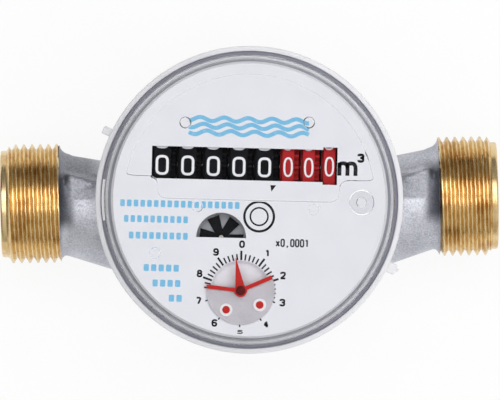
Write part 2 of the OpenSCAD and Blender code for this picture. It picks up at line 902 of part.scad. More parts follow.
module roller_shaft() {
    color("silver")
        in_register()
            along_row(left_plate_u, drum_v, drum_z)
                rod(roller_shaft_r, 0, right_plate_u - left_plate_u + frame_plate_t);
}

module pinion_shaft() {
    color("silver")
        in_register()
            along_row(left_plate_u, pinion_v, pinion_z)
                rod(pinion_shaft_r, 0, ear_u - left_plate_u + frame_plate_t);
}

// Drum i from the left: rim, web, hub, transfer gear on its right and carry disc on its left
module drum(i) {
    last = i == drum_count;
    w = drum_face(i);
    hub_end = last ? w + edge : drum_left(i + 1) - carry_w - side_gap - drum_left(i);
    bore = roller_shaft_r + run_gap;
    color(i <= black_drums ? "#202020" : "firebrick")
        in_register()
            along_row(drum_left(i), drum_v, drum_z) {
                rotate_extrude()
                    polygon([
                        [bore, -carry_w], [carry_r, -carry_w], [carry_r, 0], [drum_hub_r, 0],
                        [drum_hub_r, w - web_t], [drum_r - drum_rim_t, w - web_t], [drum_r - drum_rim_t, 0],
                        [drum_r, 0], [drum_r, w], [drum_hub_r, w], [drum_hub_r, hub_end], [bore, hub_end]
                    ]);
                if (last)
                    crown(w);
                else
                    difference() {
                        spur(drum_module, drum_teeth, gear_turn(), w - edge, gear_width(i) + edge);
                        rod(gear_bore_r, w - 1, w + gear_width(i) + 1);
                    }
            }
}

// Turn of a drum's gear that puts a gap before its pinion
function gear_turn() = pinion_angle + 180 / drum_teeth;

module crown(low) {
    for (i = [0:crown_teeth - 1])
        rotate([0, 0, (i + 0.5) * 360 / crown_teeth])
            block(
                [crown_r - crown_w / 2, -crown_bar / 2, low - edge],
                [crown_r + crown_w / 2, crown_bar / 2, low + crown_h]
            );
}

// Pinion i stands between drum i and the drum on its right
module transfer_pinion(i) {
    start = drum_right(i) + side_gap;
    width = drum_left(i + 1) - side_gap - start;
    color("ivory")
        in_register()
            along_row(start, pinion_v, pinion_z)
                difference() {
                    spur(drum_module, transfer_teeth, pinion_angle + 180, 0, width);
                    rod(pinion_shaft_r + run_gap, -1, width + 1);
                }
}

// Gear train

module gear_plate() {
    color("beige")
        in_register()
            difference() {
                intersection() {
                    rod(gear_plate_r, gear_plate_z, gear_plate_z + gear_plate_t);
                    block(
                        [-gear_plate_r - 1, -gear_plate_r - 1, gear_plate_z - 1],
                        [gear_plate_r + 1, gear_plate_edge, gear_plate_z + gear_plate_t + 1]
                    );
                }
                for (place = [[0, 0], star_at, pointer_at, idler_a_at, idler_b_at])
                    at(place)
                        rod(arbor_r + run_gap, gear_plate_z - 1, gear_plate_z + gear_plate_t + 1);
                for (place = post_places)
                    at(place)
                        rod(stake_r + seat_gap, gear_plate_z - 1, gear_plate_z + gear_plate_t + 1);
            }
}

module magnet_spindle() {
    boss = 1.5;
    pocket_floor = pocket_z + 1.2;
    color("ivory")
        in_register() {
            rod(arbor_r, pocket_floor - 0.6, arbor_top);
            rod(boss, pocket_floor + edge, follower_z() + magnet_h);
            spur(first_module, spindle_teeth, 0, level(2), gear_t);
        }
}

function follower_z() = pocket_z + 1.2 + 2 * edge;

module follower_magnet() {
    boss = 1.5;
    color("darkslategray")
        in_register()
            translate([0, 0, follower_z()])
                rotate_extrude()
                    translate([boss + seat_gap, 0])
                        square([magnet_r - boss - seat_gap, magnet_h]);
}

module star_arbor() {
    color("ivory")
        in_register()
            at(star_at) {
                rod(arbor_r, arbor_z, disc_z + disc_t + star_t);
                spur(first_module, star_teeth, star_phase, level(2), gear_t);
                spur(second_module, star_pinion_teeth, 0, level(1), gear_t);
            }
}

module star_disc() {
    color("lightgray")
        in_register()
            at(star_at)
                difference() {
                    rod(moon_r + 0.3, disc_z, disc_z + disc_t);
                    rod(arbor_r + seat_gap, disc_z - 1, disc_z + disc_t + 1);
                }
}

module flow_star() {
    arms = 6;
    arm_r = moon_r - 0.7;
    hub = 1.7;
    inner_w = 0.7;
    outer_w = 1.35;
    color("#151515")
        in_register()
            at(star_at)
                difference() {
                    translate([0, 0, disc_z + disc_t])
                        linear_extrude(height = star_t) {
                            circle(r = hub);
                            for (i = [0:arms - 1])
                                rotate(i * 360 / arms - 7)
                                    polygon([
                                        [0, -inner_w], [arm_r, -outer_w], [arm_r, outer_w], [0, inner_w]
                                    ]);
                        }
                    rod(arbor_r + seat_gap, disc_z, dial_z);
                }
}

module idler_small() {
    color("ivory")
        in_register()
            at(small_idler_at) {
                rod(arbor_r, arbor_z, level(2) - level_gap / 2);
                spur(second_module, small_idler_teeth, small_idler_phase, level(1), gear_t);
            }
}

module pointer_arbor() {
    color("ivory")
        in_register()
            at(pointer_at) {
                rod(arbor_r, arbor_z, pointer_z + pointer_t / 2);
                spur(second_module, pointer_teeth, pointer_phase, level(1), gear_t);
                spur(third_module, pointer_pinion_teeth, 0, level(0), gear_t);
            }
}

module pointer() {
    arrow_r = subdial_r - edge;
    arrow_w = 2.3;
    arm_w = 0.85;
    arm_r = subdial_r - 0.2;
    color("firebrick")
        in_register()
            at(pointer_at)
                rotate([0, 0, arrow_turn])
                    difference() {
                        union() {
                            rod(pointer_hub_r, carrier_z, pointer_z + pointer_t + 0.2);
                            translate([0, 0, pointer_z])
                                linear_extrude(height = pointer_t)
                                    polygon([[0, -arrow_w / 2], [arrow_r, 0], [0, arrow_w / 2]]);
                            for (side = [-1, 1]) {
                                rotate([0, 0, side * arm_spread])
                                    block([0, -arm_w / 2, pointer_z], [arm_r, arm_w / 2, pointer_z + pointer_t]);
                                rotate([0, 0, side * rivet_spread()])
                                    translate([rivet_reach, 0, 0])
                                        rod(rivet_r, carrier_z, modulator_z + modulator_t + edge);
                                rotate([0, 0, side * rivet_spread()])
                                    block([0, -rivet_r, carrier_z], [carrier_r, rivet_r, carrier_z + carrier_t]);
                            }
                        }
                        rod(arbor_r + seat_gap, carrier_z - 1, pointer_z + pointer_t / 2);
                    }
}

function rivet_spread() = 135;

module modulator_plate() {
    plate_r = subdial_r - 0.2;
    open_angle = 150;
    color("silver")
        in_register()
            at(pointer_at)
                rotate([0, 0, arrow_turn])
                    difference() {
                        rotate([0, 0, open_angle / 2])
                            translate([0, 0, modulator_z])
                                rotate_extrude(angle = 360 - open_angle)
                                    translate([pointer_hub_r + seat_gap, 0])
                                        square([plate_r - pointer_hub_r - seat_gap, modulator_t]);
                        for (side = [-1, 1])
                            rotate([0, 0, side * rivet_spread()])
                                translate([rivet_reach, 0, 0])
                                    rod(rivet_r + seat_gap, modulator_z - 1, modulator_z + modulator_t + 1);
                    }
}

module large_idler(place, phase) {
    color("ivory")
        in_register()
            at(place) {
                rod(arbor_r, arbor_z, arbor_top);
                spur(third_module, idler_teeth, phase, level(0), gear_t);
            }
}

module idler_a() {
    large_idler(idler_a_at, idler_a_phase);
}

module idler_b() {
    large_idler(idler_b_at, idler_b_phase);
}

module drum_drive() {
    pinion_low = drum_z - crown_r - drive_pinion_h / 2;
    color("ivory")
        in_register()
            at(drive_at) {
                rod(arbor_r, arbor_z, pinion_low + drive_pinion_h + edge);
                spur(third_module, drive_teeth, drive_phase, level(0), gear_t);
                spur(crown_module, drive_pinion_teeth, 180, pinion_low, drive_pinion_h);
            }
}

meter_body();
inlet_strainer();
impeller_pivot();
pressure_plate();
pressure_plate_seal();
retaining_ring();
upper_bearing();
clamp_ring();
impeller();
impeller_magnet();
pivot_jewel();
register_base();
register_cover();
cover_seal();
dust_seal();
dial_plate();
roller_frame();
roller_shaft();
pinion_shaft();
gear_plate();
magnet_spindle();
follower_magnet();
star_arbor();
star_disc();
flow_star();
idler_small();
pointer_arbor();
pointer();
modulator_plate();
idler_a();
idler_b();
drum_drive();
for (i = [1:drum_count])
    drum(i);
for (i = [1:drum_count - 1])
    transfer_pinion(i);
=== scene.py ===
"""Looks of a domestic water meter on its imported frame: casting, threads, hood, dial, drums and light."""

import logging
import math
from dataclasses import dataclass, field
from enum import Enum
from typing import Callable, Iterable, Sequence, Union

import bmesh
import bpy
import numpy as np
from bpy.types import ID, Material, Mesh, NodeSocket, NodeTree, Object
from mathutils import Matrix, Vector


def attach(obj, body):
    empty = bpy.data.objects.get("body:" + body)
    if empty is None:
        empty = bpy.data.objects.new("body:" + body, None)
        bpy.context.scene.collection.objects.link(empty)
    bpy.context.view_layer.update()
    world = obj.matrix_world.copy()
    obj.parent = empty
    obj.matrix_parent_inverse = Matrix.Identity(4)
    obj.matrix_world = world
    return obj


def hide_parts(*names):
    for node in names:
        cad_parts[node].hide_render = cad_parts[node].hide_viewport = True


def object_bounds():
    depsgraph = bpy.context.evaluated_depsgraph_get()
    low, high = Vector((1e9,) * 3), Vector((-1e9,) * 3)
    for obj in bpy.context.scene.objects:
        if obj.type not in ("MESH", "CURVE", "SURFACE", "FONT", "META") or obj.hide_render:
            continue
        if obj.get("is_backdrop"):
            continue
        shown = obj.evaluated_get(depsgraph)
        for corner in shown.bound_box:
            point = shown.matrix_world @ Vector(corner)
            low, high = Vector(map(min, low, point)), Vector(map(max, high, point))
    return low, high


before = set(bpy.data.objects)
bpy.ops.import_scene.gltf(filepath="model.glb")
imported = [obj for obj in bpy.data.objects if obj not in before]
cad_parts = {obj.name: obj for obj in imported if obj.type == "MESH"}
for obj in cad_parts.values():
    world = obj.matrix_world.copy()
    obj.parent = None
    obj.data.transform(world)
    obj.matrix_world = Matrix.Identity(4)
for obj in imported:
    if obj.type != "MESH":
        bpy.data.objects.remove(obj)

LOG = logging.getLogger("water_meter")
MM = 0.001
FULL_TURN = 2.0 * math.pi
REGISTER_TURN = math.radians(-2.4)
AXIS_Z = 18.0
DIAL_TOP = 61.1
INK_LOW = -0.01
INK_HIGH = 0.02

Tone = tuple[float, float, float, float]
Range = tuple[float, float, float, float]
Point = tuple[float, float]
Array = np.ndarray
Carry = Callable[[Array], Array]

WHITE: Tone = (1.0, 1.0, 1.0, 1.0)


def tone(red: float, green: float, blue: float) -> Tone:
    """Gives a colour read on a 0 to 255 screen scale as linear light with full alpha."""
    screen = np.array([red, green, blue]) / 255.0
    return (*np.where(screen <= 0.04045, screen / 12.92, ((screen + 0.055) / 1.055) ** 2.4).tolist(), 1.0)


class Signal:
    """A shader socket whose operators add Math nodes, so that shader maths reads as an expression."""

    def __init__(self, recipe: "Recipe", socket: NodeSocket) -> None:
        """Wraps one socket of a recipe's tree."""
        self.recipe = recipe
        self.socket = socket

    def math(self, operation: str, *terms: "Term") -> "Signal":
        """Adds one Math node on values or signals, in order."""
        return self.recipe.node("Math", dict(enumerate(terms)), operation=operation)

    def sibling(self, name: str) -> "Signal":
        """Gives another output of the same node."""
        return Signal(self.recipe, self.socket.node.outputs[name])

    def __add__(self, other: "Term") -> "Signal":
        """Adds, in either order."""
        return self.math("ADD", self, other)

    def __sub__(self, other: "Term") -> "Signal":
        """Subtracts."""
        return self.math("SUBTRACT", self, other)

    def __rsub__(self, other: "Term") -> "Signal":
        """Subtracts the signal from a value."""
        return self.math("SUBTRACT", other, self)

    def __mul__(self, other: "Term") -> "Signal":
        """Multiplies, in either order."""
        return self.math("MULTIPLY", self, other)

    def __abs__(self) -> "Signal":
        """Gives the size without its sign."""
        return self.math("ABSOLUTE", self)

    __radd__ = __add__
    __rmul__ = __mul__


Term = Union[Signal, float, Sequence[float]]


class Recipe:
    """The node tree of one material or world."""

    def __init__(self, tree: NodeTree) -> None:
        """Starts from an empty tree."""
        self.tree = tree
        tree.nodes.clear()

    def node(self, kind: str, sockets: dict | None = None, output: str | int = 0, **settings: str) -> Signal:
        """Adds any node.

        Args:
            kind: Node type without its ShaderNode prefix.
            sockets: Values or signals by input name or number.
            output: The output to return.
            settings: Properties to set before the inputs are filled.

        Returns:
            The chosen output; for a node without outputs, its first input.
        """
        node = self.tree.nodes.new("ShaderNode" + kind)
        for key, value in settings.items():
            setattr(node, key, value)
        for key, term in (sockets or {}).items():
            if isinstance(term, Signal):
                self.tree.links.new(term.socket, node.inputs[key])
            else:
                node.inputs[key].default_value = term
        return Signal(self, node.outputs[output] if len(node.outputs) else node.inputs[0])

    def place(self) -> Signal:
        """Gives the place on the piece, in metres."""
        return self.node("TexCoord", output="Object")

    def noise(self, scale: float, detail: float, vector: Signal | None = None,
              roughness: float = 0.55) -> Signal:
        """Adds noise around one half, with its waves per metre, its finer layers and their weight."""
        sockets = {"Vector": vector or self.place(), "Scale": scale, "Detail": detail, "Roughness": roughness}
        return self.node("TexNoise", sockets)

    def remap(self, value: Signal, low: float, high: float, to_low: float = 0.0,
              to_high: float = 1.0) -> Signal:
        """Carries the range from low to high smoothly onto another one, held at the ends."""
        sockets = {"Value": value, "From Min": low, "From Max": high, "To Min": to_low, "To Max": to_high}
        return self.node("MapRange", sockets, interpolation_type="SMOOTHSTEP")

    def mix(self, factor: Signal, first: Term, second: Term) -> Signal:
        """Mixes two colours: the first at factor 0, the second at 1."""
        return self.node("Mix", {0: factor, 6: first, 7: second}, 2, data_type="RGBA")

    def bump(self, height: Signal, distance: float, strength: float) -> Signal:
        """Turns a height pattern from 0 to 1 into a normal, with its depth in metres."""
        return self.node("Bump", {"Height": height, "Distance": distance, "Strength": strength})

    def surface(self, shader: Signal) -> None:
        """Links a shader to the output."""
        self.node("OutputMaterial", {"Surface": shader})


def fresh(name: str) -> tuple[Material, Recipe]:
    """Makes a named material with an empty tree.

    Args:
        name: Name of the finish.

    Returns:
        The material and its recipe.
    """
    material = bpy.data.materials.new(name)
    material.use_nodes = True
    return material, Recipe(material.node_tree)


@dataclass(frozen=True)
class Finish:
    """A named finish; each kind adds its own nodes."""

    name: str

    def shader(self, recipe: Recipe) -> Signal:
        """Adds the finish's nodes to a tree and gives its shader."""
        raise NotImplementedError

    def material(self) -> Material:
        """Builds the material at its first use.

        Returns:
            The material.
        """
        material = bpy.data.materials.get(self.name)
        if not material:
            material, recipe = fresh(self.name)
            recipe.surface(self.shader(recipe))
        return material


@dataclass(frozen=True)
class Plastic(Finish):
    """Moulded plastic: slightly clouded colour, satin gloss that varies, and a fine moulded grain."""

    colour: Tone
    cloud: float
    roughness: float
    specular: float = 0.5
    gloss_span: float = 0.06
    grain: float = 0.00002
    grain_scale: float = 2600.0

    def shader(self, recipe: Recipe) -> Signal:
        """Adds the plastic's nodes.

        Args:
            recipe: The tree to add to.

        Returns:
            The shader.
        """
        cloud = recipe.remap(recipe.noise(160.0, 4.0), 0.3, 0.7)
        darker = tuple(c * (1.0 - 2.0 * self.cloud) for c in self.colour[:3]) + (1.0,)
        gloss = recipe.remap(recipe.noise(420.0, 2.0), 0.25, 0.75,
                             self.roughness - self.gloss_span, self.roughness + self.gloss_span)
        normal = recipe.bump(recipe.noise(self.grain_scale, 2.0), self.grain, 0.6)
        return recipe.node("BsdfPrincipled", {
            "Base Color": recipe.mix(cloud, darker, self.colour), "Roughness": gloss, "Normal": normal,
            "IOR": 1.49, "Specular IOR Level": self.specular})


@dataclass(frozen=True)
class Ink(Finish):
    """Printed ink: even colour with faint thin spots, dull."""

    colour: Tone
    thin: float = 0.18

    def shader(self, recipe: Recipe) -> Signal:
        """Adds the ink's nodes.

        Args:
            recipe: The tree to add to.

        Returns:
            The shader.
        """
        spots = recipe.remap(recipe.noise(1500.0, 4.0), 0.5, 0.78)
        paler = tuple(c + (1.0 - c) * self.thin for c in self.colour[:3]) + (1.0,)
        dull = recipe.remap(recipe.noise(900.0, 2.0), 0.3, 0.7, 0.5, 0.66)
        return recipe.node("BsdfPrincipled", {
            "Base Color": recipe.mix(spots, self.colour, paler), "Roughness": dull,
            "Specular IOR Level": 0.08})


@dataclass(frozen=True)
class Metal(Finish):
    """Bright metal with drawn lines around one axis."""

    colour: Tone
    shade: Tone
    roughness: float
    line_scale: float = 5200.0
    line_depth: float = 0.00001
    stretch: tuple[float, float, float] = (1.0, 0.06, 0.06)

    def shader(self, recipe: Recipe) -> Signal:
        """Adds the metal's nodes.

        Args:
            recipe: The tree to add to.

        Returns:
            The shader.
        """
        drawn = recipe.node("Mapping", {"Vector": recipe.place(), "Scale": self.stretch})
        lines = recipe.noise(self.line_scale, 2.0, drawn)
        stain = recipe.remap(recipe.noise(190.0, 4.0), 0.42, 0.72)
        gloss = recipe.remap(lines, 0.3, 0.7, self.roughness - 0.07, self.roughness + 0.1)
        return recipe.node("BsdfPrincipled", {
            "Base Color": recipe.mix(stain, self.colour, self.shade), "Metallic": 1.0, "Roughness": gloss,
            "Normal": recipe.bump(lines, self.line_depth, 0.5)})


@dataclass(frozen=True)
class Residue:
    """Painted shade on the casting's necks: darker colour in the corner beside each pipe end, over the flat
    pads and on the inlet neck's back, where these fall dark in the light. Each place has its range outward
    and across, in metres, and its shares there."""

    # Colour of the painted shade: a dark blue-grey.
    colour: Tone = tone(48, 51, 62)
    corner: tuple = ((0.0378, 0.0402), (0.0042, 0.008, 0.86, 0.0))
    corner_y: float = 0.001
    pad: tuple = ((0.0328, 0.0334), (0.0025, 0.0032, 0.45, 0.0))
    pad_y: float = 0.003
    pad_lean: float = 0.0135
    back: tuple = ((0.031, 0.036), (0.003, 0.008, 0.0, 0.56))
    thin: Range = (0.3, 0.65, 0.8, 1.0)

    def share(self, recipe: Recipe, cloud: Signal) -> Signal:
        """Share of the painted shade: the largest of the three places' shares, thinner where the cloud is
        thin.

        Args:
            recipe: The tree to add to.
            cloud: A soft pattern around one half.

        Returns:
            The share, from 0 to 1.
        """
        along = recipe.node("SeparateXYZ", {0: recipe.place()}, "X")
        across, outward = along.sibling("Y"), abs(along)
        pad_line = self.pad_y - along * self.pad_lean
        places = ((self.corner, outward, abs(across - self.corner_y)),
                  (self.pad, outward, abs(across - pad_line)), (self.back, 0.0 - along, across))
        corner, pad, back = (recipe.remap(out, *reach) * recipe.remap(aside, *side)
                             for (reach, side), out, aside in places)
        most = along.math("MAXIMUM", along.math("MAXIMUM", corner, pad), back)
        return most * recipe.remap(cloud, *self.thin)


@dataclass(frozen=True)
class CastMetal(Finish):
    """Blasted grey casting: speckle of bright and dark grains over a soft cloud, with a pitted skin."""

    pale: Tone
    dark: Tone
    roughness: float = 0.46
    speckle: float = 2600.0
    pit: float = 0.00003
    metallic: float = 0.6
    # Optional painted shade that darkens parts of the necks in the colour.
    residue: Residue | None = None

    def shader(self, recipe: Recipe) -> Signal:
        """Adds the casting's nodes.

        Args:
            recipe: The tree to add to.

        Returns:
            The shader.
        """
        grains = recipe.noise(self.speckle, 5.0, None, 0.7)
        cloud = recipe.noise(120.0, 4.0)
        share = recipe.remap(grains * 0.65 + cloud * 0.35, 0.36, 0.64)
        colour = recipe.mix(share, self.dark, self.pale)
        # Painted shade: the necks' corners, pads and inlet back are darkened in the colour.
        if self.residue:
            colour = recipe.mix(self.residue.share(recipe, cloud), colour, self.residue.colour)
        gloss = recipe.remap(grains, 0.3, 0.7, self.roughness + 0.1, self.roughness - 0.08)
        skin = recipe.noise(900.0, 6.0, None, 0.65)
        return recipe.node("BsdfPrincipled", {
            "Base Color": colour, "Metallic": self.metallic, "Roughness": gloss,
            "Normal": recipe.bump(skin, self.pit, 0.7)})


@dataclass(frozen=True)
class Clear(Finish):
    """Clear moulded plastic that lets lamp light and bounced light through."""

    colour: Tone = (0.993, 0.993, 0.996, 1.0)
    tint: Tone = (0.98, 0.98, 0.983, 1.0)
    ior: float = 1.46

    def shader(self, recipe: Recipe) -> Signal:
        """Adds the clear plastic's nodes.

        Args:
            recipe: The tree to add to.

        Returns:
            The shader.
        """
        haze = recipe.remap(recipe.noise(700.0, 3.0), 0.35, 0.8, 0.0, 0.01)
        body = recipe.node("BsdfPrincipled", {
            "Base Color": self.colour, "Roughness": haze, "IOR": self.ior, "Transmission Weight": 1.0})
        rays = recipe.node("LightPath", output="Is Shadow Ray")
        through = recipe.node("BsdfTransparent", {"Color": self.tint})
        lamps = recipe.node("MixShader", {0: rays, 1: body, 2: through})
        return recipe.node("MixShader", {0: rays.sibling("Is Diffuse Ray"), 1: lamps, 2: through})


class Palette(Enum):
    """The finishes of this meter."""

    # The casting carries painted shade on its necks.
    CASTING = CastMetal("casting_grey", tone(218, 219, 226), tone(172, 174, 184), residue=Residue())
    BRASS = Metal("turned_brass", tone(231, 205, 155), tone(204, 168, 112), 0.26)
    STEEL = Metal("drawn_steel", tone(200, 202, 206), tone(160, 163, 168), 0.3)
    SHEET = CastMetal("plate_grey", tone(194, 190, 196), tone(170, 167, 174), 0.5, 5200.0, 0.00001, 0.15)
    RING_WHITE = Plastic("ring_white", tone(243, 243, 246), 0.015, 0.38)
    CUP_WHITE = Plastic("cup_white", tone(243, 244, 247), 0.02, 0.5)
    DIAL_WHITE = Plastic("dial_white", tone(240, 241, 247), 0.015, 0.6)
    FRAME_WHITE = Plastic("frame_white", tone(214, 216, 218), 0.03, 0.5)
    GEAR_IVORY = Plastic("gear_ivory", tone(226, 221, 205), 0.05, 0.5)
    SEAL_GREY = Plastic("dust_seal_grey", tone(139, 140, 154), 0.05, 0.6)
    SEAL_BLACK = Plastic("seal_black", tone(38, 38, 41), 0.12, 0.7)
    SEAL_PALE = Plastic("cover_seal_grey", tone(166, 167, 177), 0.05, 0.6)
    DRUM_BLACK = Plastic("moulded_black", tone(24, 25, 29), 0.15, 0.66, specular=0.06)
    DRUM_RED = Plastic("moulded_red", tone(188, 42, 46), 0.06, 0.6, specular=0.1)
    STAR_BLACK = Plastic("star_moulded_black", tone(27, 28, 31), 0.1, 0.66, specular=0.06)
    STAR_DISH = Plastic("star_dish_grey", tone(164, 166, 172), 0.06, 0.5)
    POINTER_RED = Plastic("pointer_moulded_red", tone(203, 48, 44), 0.05, 0.6, specular=0.1)
    HUB_MAROON = Plastic("hub_maroon", tone(98, 24, 26), 0.1, 0.6, specular=0.1)
    MAGNET = Plastic("ferrite_dark", tone(62, 62, 66), 0.15, 0.65)
    JEWEL = Plastic("jewel_red", tone(150, 22, 40), 0.05, 0.15)
    HOOD = Clear("hood_clear")
    INK_BLUE = Ink("ink_blue", tone(130, 199, 236))
    INK_BLACK = Ink("ink_black", tone(30, 31, 34), 0.06)
    INK_GREY = Ink("ink_grey", tone(62, 63, 68), 0.1)
    INK_WHITE = Ink("ink_white", tone(246, 247, 250), 0.0)

    def material(self) -> Material:
        """Gives the finish's material."""
        return self.value.material()


@dataclass
class Surface:
    """Points in millimetres and the faces between them."""

    points: Array
    faces: list

    def mapped(self, carry: Carry) -> "Surface":
        """Gives the same faces on carried points."""
        return Surface(carry(self.points), self.faces)

    @staticmethod
    def joined(parts: Iterable["Surface"]) -> "Surface":
        """Puts several surfaces into one.

        Args:
            parts: The surfaces.

        Returns:
            One surface with all their points and faces.
        """
        parts = list(parts)
        starts = np.cumsum([0] + [len(p.points) for p in parts[:-1]])
        faces = [tuple(int(i + start) for i in face) for p, start in zip(parts, starts) for face in p.faces]
        return Surface(np.concatenate([p.points for p in parts]), faces)

    def mesh(self, name: str, unit: float = MM) -> Mesh:
        """Gives the surface as a mesh in metres.

        Args:
            name: Name of the mesh.
            unit: Metres in one unit of the points.

        Returns:
            The mesh.
        """
        mesh = bpy.data.meshes.new(name)
        mesh.from_pydata((self.points * unit).tolist(), [], self.faces)
        return mesh

    def piece(self, name: str, body: str, finish: Palette, sharp: float = 32.0) -> Object:
        """Makes the surface a piece that rides on a body, as placed() does."""
        return placed(self.mesh(name), name, body, finish, sharp)


def linked(name: str, data: ID) -> Object:
    """Makes an object and links it to the scene.

    Args:
        name: Name of the object.
        data: Its mesh, lamp or camera.

    Returns:
        The object.
    """
    thing = bpy.data.objects.new(name, data)
    bpy.context.scene.collection.objects.link(thing)
    return thing


def placed(mesh: Mesh, name: str, body: str, finish: Palette, sharp: float) -> Object:
    """Closes a mesh's poles and seams, shades it and puts it on its body.

    Args:
        mesh: The mesh, in metres.
        name: Name of the piece.
        body: CAD body that carries it.
        finish: Its finish.
        sharp: Angle in degrees past which an edge stays sharp.

    Returns:
        The object.
    """
    work = bmesh.new()
    work.from_mesh(mesh)
    bmesh.ops.remove_doubles(work, verts=work.verts, dist=1e-7)
    bmesh.ops.recalc_face_normals(work, faces=work.faces)
    work.to_mesh(mesh)
    work.free()
    mesh.polygons.foreach_set("use_smooth", np.ones(len(mesh.polygons), dtype=bool))
    mesh.set_sharp_from_angle(angle=math.radians(sharp))
    mesh.materials.append(finish.material())
    mesh.update()
    thing = linked(name, mesh)
    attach(thing, body)
    LOG.info("%s: %d faces on %s", name, len(mesh.polygons), body)
    return thing


def round_turn(columns: int) -> Array:
    """Gives evenly spaced angles of one full turn."""
    return np.linspace(0.0, FULL_TURN, columns, endpoint=False)


def compass(angle: Array | float) -> Array:
    """Gives the direction of each angle: its cosine and sine, on the last axis."""
    return np.stack([np.cos(angle), np.sin(angle)], axis=-1)


def directions(steps: Array) -> Array:
    """Gives each row at length 1."""
    return steps / np.linalg.norm(steps, axis=1)[:, None]


def lifted(flat: Array, height: float) -> Array:
    """Gives flat points at one height."""
    return np.column_stack([flat, np.full(len(flat), height)])


def grid(points: Array, around: bool, along: bool, caps: bool = False) -> Surface:
    """Joins a grid of points: each cell of rows and columns is one four-sided face.

    Args:
        points: Array of rows, columns and 3.
        around: Whether the last column meets the first.
        along: Whether the last row meets the first.
        caps: Whether the first and last rows are filled.

    Returns:
        The surface.
    """
    rows, columns = points.shape[:2]
    index = np.arange(rows * columns).reshape(rows, columns)
    if around:
        index = np.concatenate([index, index[:, :1]], axis=1)
    if along:
        index = np.concatenate([index, index[:1]], axis=0)
    cells = np.stack([index[:-1, :-1], index[:-1, 1:], index[1:, 1:], index[1:, :-1]], axis=-1).reshape(-1, 4)
    faces = [tuple(c) for c in cells.tolist()]
    if caps:
        faces.append(tuple(index[0, :columns][::-1].tolist()))
        faces.append(tuple(index[-1, :columns].tolist()))
    return Surface(points.reshape(-1, 3), faces)


def lathe(profile: Sequence[Point], columns: int, at: Point = (0.0, 0.0)) -> Surface:
    """Turns a closed profile of radius and height about an upright axis.

    Args:
        profile: Radius and height of each corner, in order.
        columns: Number of steps around.
        at: Place of the axis.

    Returns:
        The surface: each corner's radius times the cosine and sine of the angle, at its height.
    """
    p = np.asarray(profile, dtype=float)[:, None]
    flat = np.array(at) + p[..., :1] * compass(round_turn(columns))
    z = np.broadcast_to(p[..., 1:], (*flat.shape[:2], 1))
    return grid(np.concatenate([flat, z], axis=-1), True, True)


def softened(corners: Sequence[Point], radius: float, closed: bool, steps: int = 6) -> Array:
    """Rounds the corners of a line: each corner becomes a parabola between points a radius before and after.

    Args:
        corners: The line's corners.
        radius: Length taken from each side of a corner, at most 0.48 of the side.
        closed: Whether the line ends where it starts.
        steps: Steps of each rounded corner.

    Returns:
        The rounded line's points.
    """
    p = np.asarray(corners, dtype=float)
    if len(p) < 3:
        return p
    reaches = [np.roll(p, shift, axis=0) - p for shift in (1, -1)]
    sizes = [np.linalg.norm(reach, axis=1)[:, None] for reach in reaches]
    start, stop = (p + r * (np.minimum(radius, 0.48 * size) / size) for r, size in zip(reaches, sizes))
    t = np.linspace(0.0, 1.0, steps + 1)[None, :, None]
    curve = (1 - t) ** 2 * start[:, None] + 2 * t * (1 - t) * p[:, None] + t ** 2 * stop[:, None]
    if closed:
        return curve.reshape(-1, 2)
    return np.concatenate([p[:1], curve[1:-1].reshape(-1, 2), p[-1:]])


def resampled(line: Array, step: float, closed: bool) -> Array:
    """Spaces a line's points evenly: each coordinate is read at equal steps of the length along the line.

    Args:
        line: The line's points.
        step: Greatest distance between points.
        closed: Whether the line ends where it starts.

    Returns:
        The evenly spaced points.
    """
    path = np.concatenate([line, line[:1]]) if closed else line
    length = np.concatenate([[0.0], np.cumsum(np.linalg.norm(np.diff(path, axis=0), axis=1))])
    count = max(3, int(length[-1] / step) + 1)
    at = np.linspace(0.0, length[-1], count, endpoint=not closed)
    return np.column_stack([np.interp(at, length, path[:, 0]), np.interp(at, length, path[:, 1])])


def rounded_box(width: float, height: float, corner: float) -> Array:
    """Gives a rectangle about its middle with rounded corners, as a closed outline."""
    w, h = width / 2.0, height / 2.0
    return softened([(-w, -h), (w, -h), (w, h), (-w, h)], corner, True)


def prism(outline: Array, low: float = INK_LOW, high: float = INK_HIGH, bevel: float = 0.0) -> Surface:
    """Carries an outline straight up, drawn in towards its middle by the bevel at both ends.

    Args:
        outline: Closed outline.
        low: Height of its foot.
        high: Height of its top.
        bevel: Width and height of the bevelled edges.

    Returns:
        The closed surface.
    """
    levels = [(outline, low), (outline, high)]
    if bevel:
        middle = outline.mean(axis=0)
        span = np.abs(outline - middle).max(axis=0)
        drawn = middle + (outline - middle) * (1.0 - bevel / span)
        levels = [(drawn, low), (outline, low + bevel), (outline, high - bevel), (drawn, high)]
    return grid(np.stack([lifted(ring, z) for ring, z in levels]), True, False, True)


def ribbon(line: Array, width: float, closed: bool, low: float = INK_LOW,
           high: float = INK_HIGH) -> Surface:
    """Carries a thin upright rectangle along a flat line: each station is the line's point plus and minus
    half the width along the line's normal, lengthened at a bend so that the sides stay parallel.

    Args:
        line: The line's points.
        width: Width of the stroke.
        closed: Whether the line ends where it starts.
        low: Height of the stroke's foot over the surface.
        high: Height of its top.

    Returns:
        The closed surface, with the height as its third coordinate.
    """
    if closed:
        ahead = directions(np.roll(line, -1, axis=0) - line)
        behind = np.roll(ahead, 1, axis=0)
    else:
        step = directions(np.diff(line, axis=0))
        ahead, behind = np.concatenate([step, step[-1:]]), np.concatenate([step[:1], step])
    tangent = ahead + behind
    tangent = tangent / np.maximum(np.linalg.norm(tangent, axis=1), 1e-6)[:, None]
    normal = np.column_stack([-tangent[:, 1], tangent[:, 0]])
    bend = np.clip((tangent * ahead).sum(axis=1), 0.6, 1.0)[:, None]
    side = normal * width / 2.0 / bend
    corners = [(line - side, low), (line + side, low), (line + side, high), (line - side, high)]
    return grid(np.stack([lifted(c, h) for c, h in corners], axis=1), True, closed, not closed)


